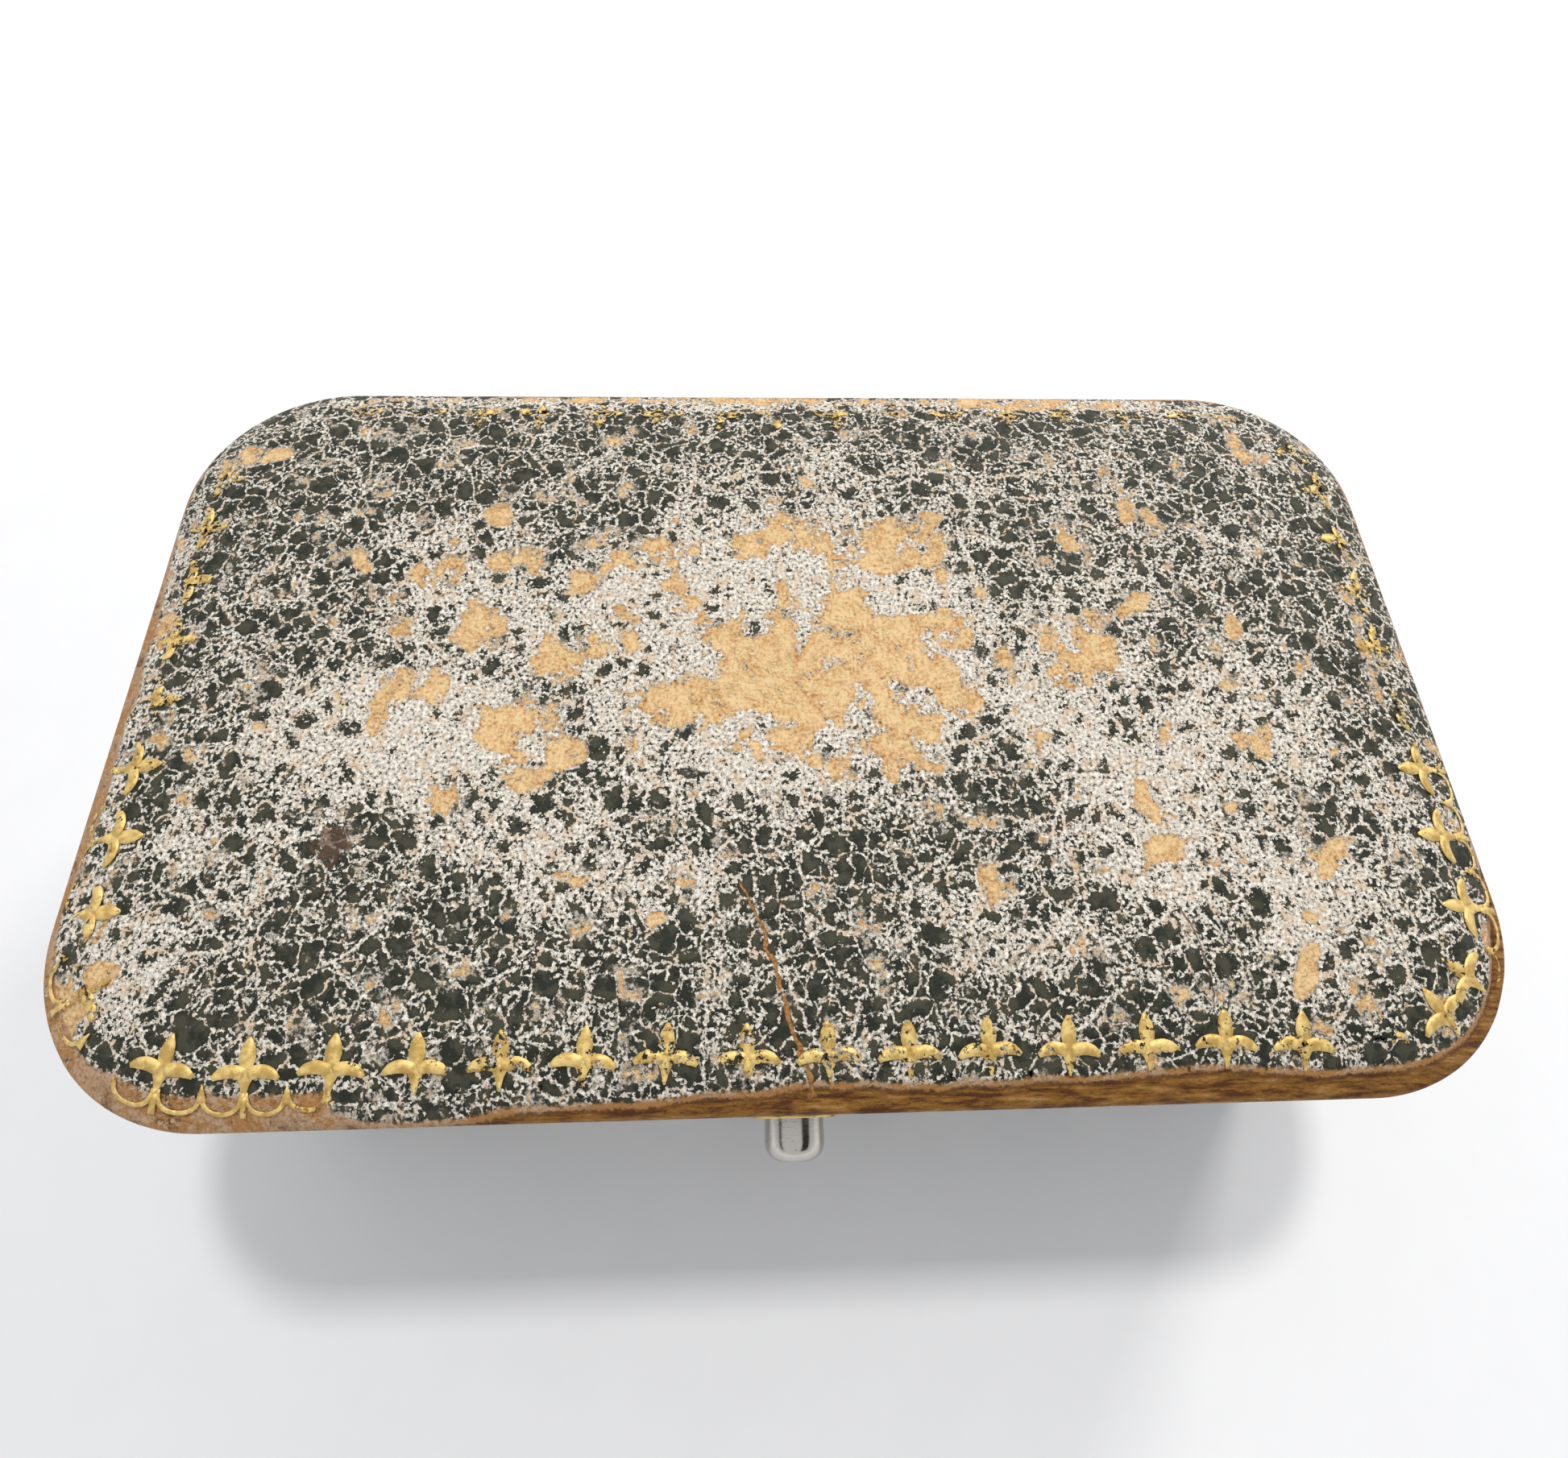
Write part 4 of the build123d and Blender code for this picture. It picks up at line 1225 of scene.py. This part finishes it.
@dataclass
class CatchSpring:
    """The catch's leaf spring. Its foot stays on the lock plate, and its tip touches the lever."""

    skin_mm: float = 0.25
    foot_top_mm: float = 11.6
    touch_mm: float = 16.3
    tip_back_mm: float = 0.35
    lever_side: float = 0.55
    rounding_mm: tuple[float, ...] = (-0.4, -0.2, 0.0, 0.2, 0.4)
    rows: int = 41

    def build(self, material: bpy.types.Material) -> bpy.types.Object:
        """Make the spring.

        Its line from the side runs up the plate, slants to the lever and turns back at the tip, with each place
        averaged with its neighbours so that the bends are round. A flat four-cornered section is carried along it.

        Args:
            material: Its metal.

        Returns:
            The new object.
        """
        low, high = (np.array(corner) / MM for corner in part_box("catch_spring"))
        back, touch = high[1] - self.skin_mm / 2, low[1] + self.skin_mm * self.lever_side
        heights = [low[2], self.foot_top_mm, self.touch_mm, high[2]]
        line = [back, back, touch, touch + self.tip_back_mm]
        z = np.linspace(low[2], high[2], self.rows)
        y = sum(np.interp(z + shift, heights, line) for shift in self.rounding_mm) / len(self.rounding_mm)
        slope = np.gradient(y, z)
        turned = np.stack([np.ones_like(slope), -slope], -1) / np.sqrt(1 + slope**2)[:, None] * self.skin_mm / 2
        corners = [(low[0], -1), (high[0], -1), (high[0], 1), (low[0], 1)]
        rings = np.stack([np.stack([np.full_like(z, x), y + side * turned[:, 0], z + side * turned[:, 1]], -1)
                          for x, side in corners], 1)
        last = (self.rows - 1) * 4
        caps = np.array([[3, 2, 1, 0], [last, last + 1, last + 2, last + 3]])
        faces = np.concatenate([grid_faces(self.rows, 4, closed=True), caps])
        spring = make_piece("catch_leaf_spring", rings.reshape(-1, 3), faces, material, None)
        spring.data.shade_flat()
        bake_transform(spring)
        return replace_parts(spring, "catch_spring")


# ---- The rest of the case -----------------------------------------------------------------------------------
@dataclass
class Dressing:
    """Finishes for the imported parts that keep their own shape."""

    finishes: dict[str, tuple[str, ...]] = field(default_factory=lambda: {
        "base_leather": ("base_side_leather",),
        "rim_leather": ("base_rim_leather", "lid_rim_leather"),
        "underside_paper": ("base_underside_cover",),
        "plain_wood": ("base_hoop", "base_floor", "lid_hoop", "lid_top_board"),
        "pasteboard": ("base_lip_card", "pad_tray", "lid_pad_card"),
        "velvet": ("base_lip_velvet",),
        "satin": ("lid_wall_lining",),
        "brass": ("hinge_base_leaf", "hinge_lid_leaf", "hinge_base_nails", "hinge_lid_nails", "button_bush",
                  "lock_plate", "catch_rim_plate", "catch_rim_nails", "striker_plate", "striker_nails",
                  "spring_rivet"),
        "nickel": ("push_button",),
        "steel": ("hinge_pin", "catch_lever", "catch_pivot_pin", "catch_spring", "lock_plate_screws"),
    })

    def dress(self, finish: str, material: bpy.types.Material) -> None:
        """Give one finish to its parts.

        Args:
            finish: The finish's key.
            material: Its material.
        """
        for name in self.finishes[finish]:
            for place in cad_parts[name].material_slots:
                place.material = material
            log.info("%s: %s", name, finish)


# ---- Setting ------------------------------------------------------------------------------------------------
class SkyGraph(Graph):
    """A world's nodes, built in the same way as a material's."""

    def __init__(self, name: str) -> None:
        """Start a world that holds a Background shader alone."""
        self.dimensions = "3D"
        self.world = bpy.data.worlds.new(name)
        self.world.use_nodes = True
        self.tree = self.world.node_tree
        self.shader = self.tree.nodes["Background"]


@dataclass
class Studio:
    """A pale table, a bright surround and soft lamps."""

    half_mm: float = 1600.0
    lines: int = 57
    level_mm: float = 300.0
    drop_mm: float = 1.5
    glow_mm: tuple[float, float] = (80.0, 330.0)
    glow: float = 0.42
    table: Colour = (0.93, 0.935, 0.95)
    surround: float = 0.74
    horizon: float = 1.0

    def build_table(self) -> None:
        """A paper sheet under the case, as a grid that falls a little away from it. Far out it glows in its own
        emission, a painted light, so that it meets the white surround."""
        line = np.linspace(-self.half_mm, self.half_mm, self.lines)
        x, y = np.meshgrid(line, line)
        away = rise(np.hypot(x, y), self.level_mm, self.half_mm)
        points = np.stack([x, y, -away * self.drop_mm], -1).reshape(-1, 3)
        mesh = bpy.data.meshes.new("table")
        mesh.from_pydata((points * MM).tolist(), [], grid_faces(self.lines, self.lines).tolist())
        g = Graph("table_paper")
        p = g.place()
        fibre = g.noise(p, 6.0, 4.0, 0.6)
        x, y, _ = g.axes(p)
        # Painted light: the table's emission rises from nothing near the case to full far out, so it glows though it is
        # no lamp.
        glow_share = (x * x + y * y).step(self.glow_mm[0] ** 2, self.glow_mm[1] ** 2)
        g.finish(Base_Color=g.mix(fibre.step(0.3, 0.7), self.table, tuple(0.985 * c for c in self.table)),
                 Roughness=0.42 + fibre * 0.1, Emission_Color=g.mix(glow_share, (0.0, 0.0, 0.0), (1.0, 1.0, 1.0)),
                 Emission_Strength=self.glow)
        mesh.materials.append(g.material)
        table = bpy.data.objects.new("table", mesh)
        bpy.context.scene.collection.objects.link(table)

    def build_surround(self) -> None:
        """A white world with two dark bars overhead, as of a window, which polished metal reflects."""
        g = SkyGraph("surround")
        direction = g.node("ShaderNodeTexCoord", output="Generated")
        x, y, z = g.axes(direction)
        across, along = x / z.most(0.02), y / z.most(0.02)
        reach = along.step(-1.8, -1.5) * along.step(1.3, 1.0) * z.step(0.15, 0.25)
        wide = across.step(0.48, 0.56) * across.step(1.65, 1.45)
        narrow = across.step(-2.0, -1.9) * across.step(-1.25, -1.35)
        low = z.step(0.30, 0.05)
        bars = (wide + narrow).least(1.0) * reach
        g.finish(Color=g.mix(bars, (0.97, 0.98, 1.0), (0.05, 0.045, 0.04)),
                 Strength=self.surround + low * (self.horizon - self.surround))
        bpy.context.scene.world = g.world

    def build_lamp(self, name: str, place_mm: tuple[float, float, float], size_mm: float, watts: float,
                   tint: Colour) -> None:
        """Add a square lamp that faces the case.

        Args:
            name: The lamp's name.
            place_mm: Where it hangs.
            size_mm: Its side.
            watts: Its power.
            tint: Its colour.
        """
        lamp = bpy.data.lights.new(name, "AREA")
        lamp.size = size_mm * MM
        lamp.energy = watts
        lamp.color = tint
        hung = bpy.data.objects.new(name, lamp)
        hung.location = Vector(place_mm) * MM
        toward = Vector((0.0, 0.0, SEAM_MM * MM)) - hung.location
        hung.rotation_euler = toward.to_track_quat("-Z", "Y").to_euler()
        bpy.context.scene.collection.objects.link(hung)

    def build(self) -> None:
        """Set the whole setting up."""
        self.build_table()
        self.build_surround()
        self.build_lamp("high_window", (20.0, 218.0, 559.0), 60.0, 1.30, (1.0, 0.985, 0.96))
        self.build_lamp("low_window", (282.0, 403.0, 344.0), 120.0, 1.20, (1.0, 0.98, 0.95))
        bpy.context.scene.view_settings.view_transform = "Standard"


@dataclass
class Viewpoint:
    """The camera: close above the front edge, looking down, turned and tilted a few degrees."""

    place_mm: tuple[float, float, float] = (-3.10, -27.78, 86.61)
    down_deg: float = 66.16
    turn_deg: float = -5.86
    roll_deg: float = 4.71
    lens: float = 19.61

    def build(self) -> None:
        """Add the camera.

        It starts facing along +Y, is pitched down, then turned about the vertical and rolled about its own axis.
        """
        data = bpy.data.cameras.new("camera")
        data.sensor_width = 36.0
        data.lens = self.lens
        data.clip_start = 0.005
        data.clip_end = 20.0
        down = math.radians(self.down_deg)
        right, up = Vector((1.0, 0.0, 0.0)), Vector((0.0, math.sin(down), math.cos(down)))
        back = Vector((0.0, -math.cos(down), math.sin(down)))
        pitched = Matrix((right, up, back)).transposed()
        turned = Matrix.Rotation(math.radians(self.turn_deg), 3, "Z") @ pitched
        camera = bpy.data.objects.new("camera", data)
        camera.matrix_world = Matrix.LocRotScale(
            Vector(self.place_mm) * MM, turned @ Matrix.Rotation(math.radians(self.roll_deg), 3, "Z"), None)
        bpy.context.scene.collection.objects.link(camera)
        bpy.context.scene.camera = camera


def main() -> None:
    """Build every sub-assembly in order and say what was made."""
    logging.basicConfig(level=logging.INFO, format="%(name)s: %(message)s")
    Viewpoint().build()
    outline = case_outline()
    crown = Crown(outline)
    lid_leather = CrackledLeather(
        "lid_leather", Wear.PAINTED,
        splits=(Scratch((-3.9, -14.6), (-1.3, -21.8), 0.4, 0.11), Scratch((-1.4, -21.6), (0.5, -27.8), 0.2, 0.14)),
        shaded_creases=(Scratch((24.6, -16.6), (25.6, -23.2), 0.3, 0.07),),
        stains=(Stain((-29.8, -11.8), 1.2, (0.10, 0.055, 0.030)), Stain((15.6, -11.9), 0.45, (0.012, 0.011, 0.010)),
                Stain((16.2, -12.9), 0.25, (0.012, 0.011, 0.010))))
    LidCover(outline, crown).build(lid_leather.build())
    GiltBorder(crown).build(GoldLeaf().build())
    velvet, satin = Velvet().build(), Satin().build()
    JewelPad("jewel_pad", "velvet_pad", "root", "velvet", radius_mm=5.0, faces_down=False, fill=0.75,
             spread_mm=0.1).build(velvet)
    LidPad("lid_pad", "lid_satin_pad", "lid", "satin", radius_mm=6.0, faces_down=True, fill=0.65).build(satin)
    dressing = Dressing()
    dressing.dress("base_leather", CrackledLeather("base_leather", Wear.RUBBED_EDGES, 0.02).build())
    dressing.dress("rim_leather", CrackledLeather("rim_leather", Wear.SHELTERED, -0.03).build())
    dressing.dress("underside_paper", LeatherPaper().build())
    dressing.dress("plain_wood", BareWood().build())
    dressing.dress("pasteboard", Pasteboard().build())
    dressing.dress("velvet", velvet)
    dressing.dress("satin", satin)
    dressing.dress("brass", Metal("brass", (0.76, 0.54, 0.23), (0.28, 0.17, 0.07), 0.40).build())
    dressing.dress("nickel", Metal("nickel", (0.56, 0.53, 0.49), (0.26, 0.20, 0.16), 0.14, 0.25).build())
    steel = Metal("steel", (0.45, 0.44, 0.43), (0.16, 0.10, 0.06), 0.34, 0.6).build()
    dressing.dress("steel", steel)
    CatchSpring().build(steel)
    Studio().build()


if __name__ == "__main__":
    main()
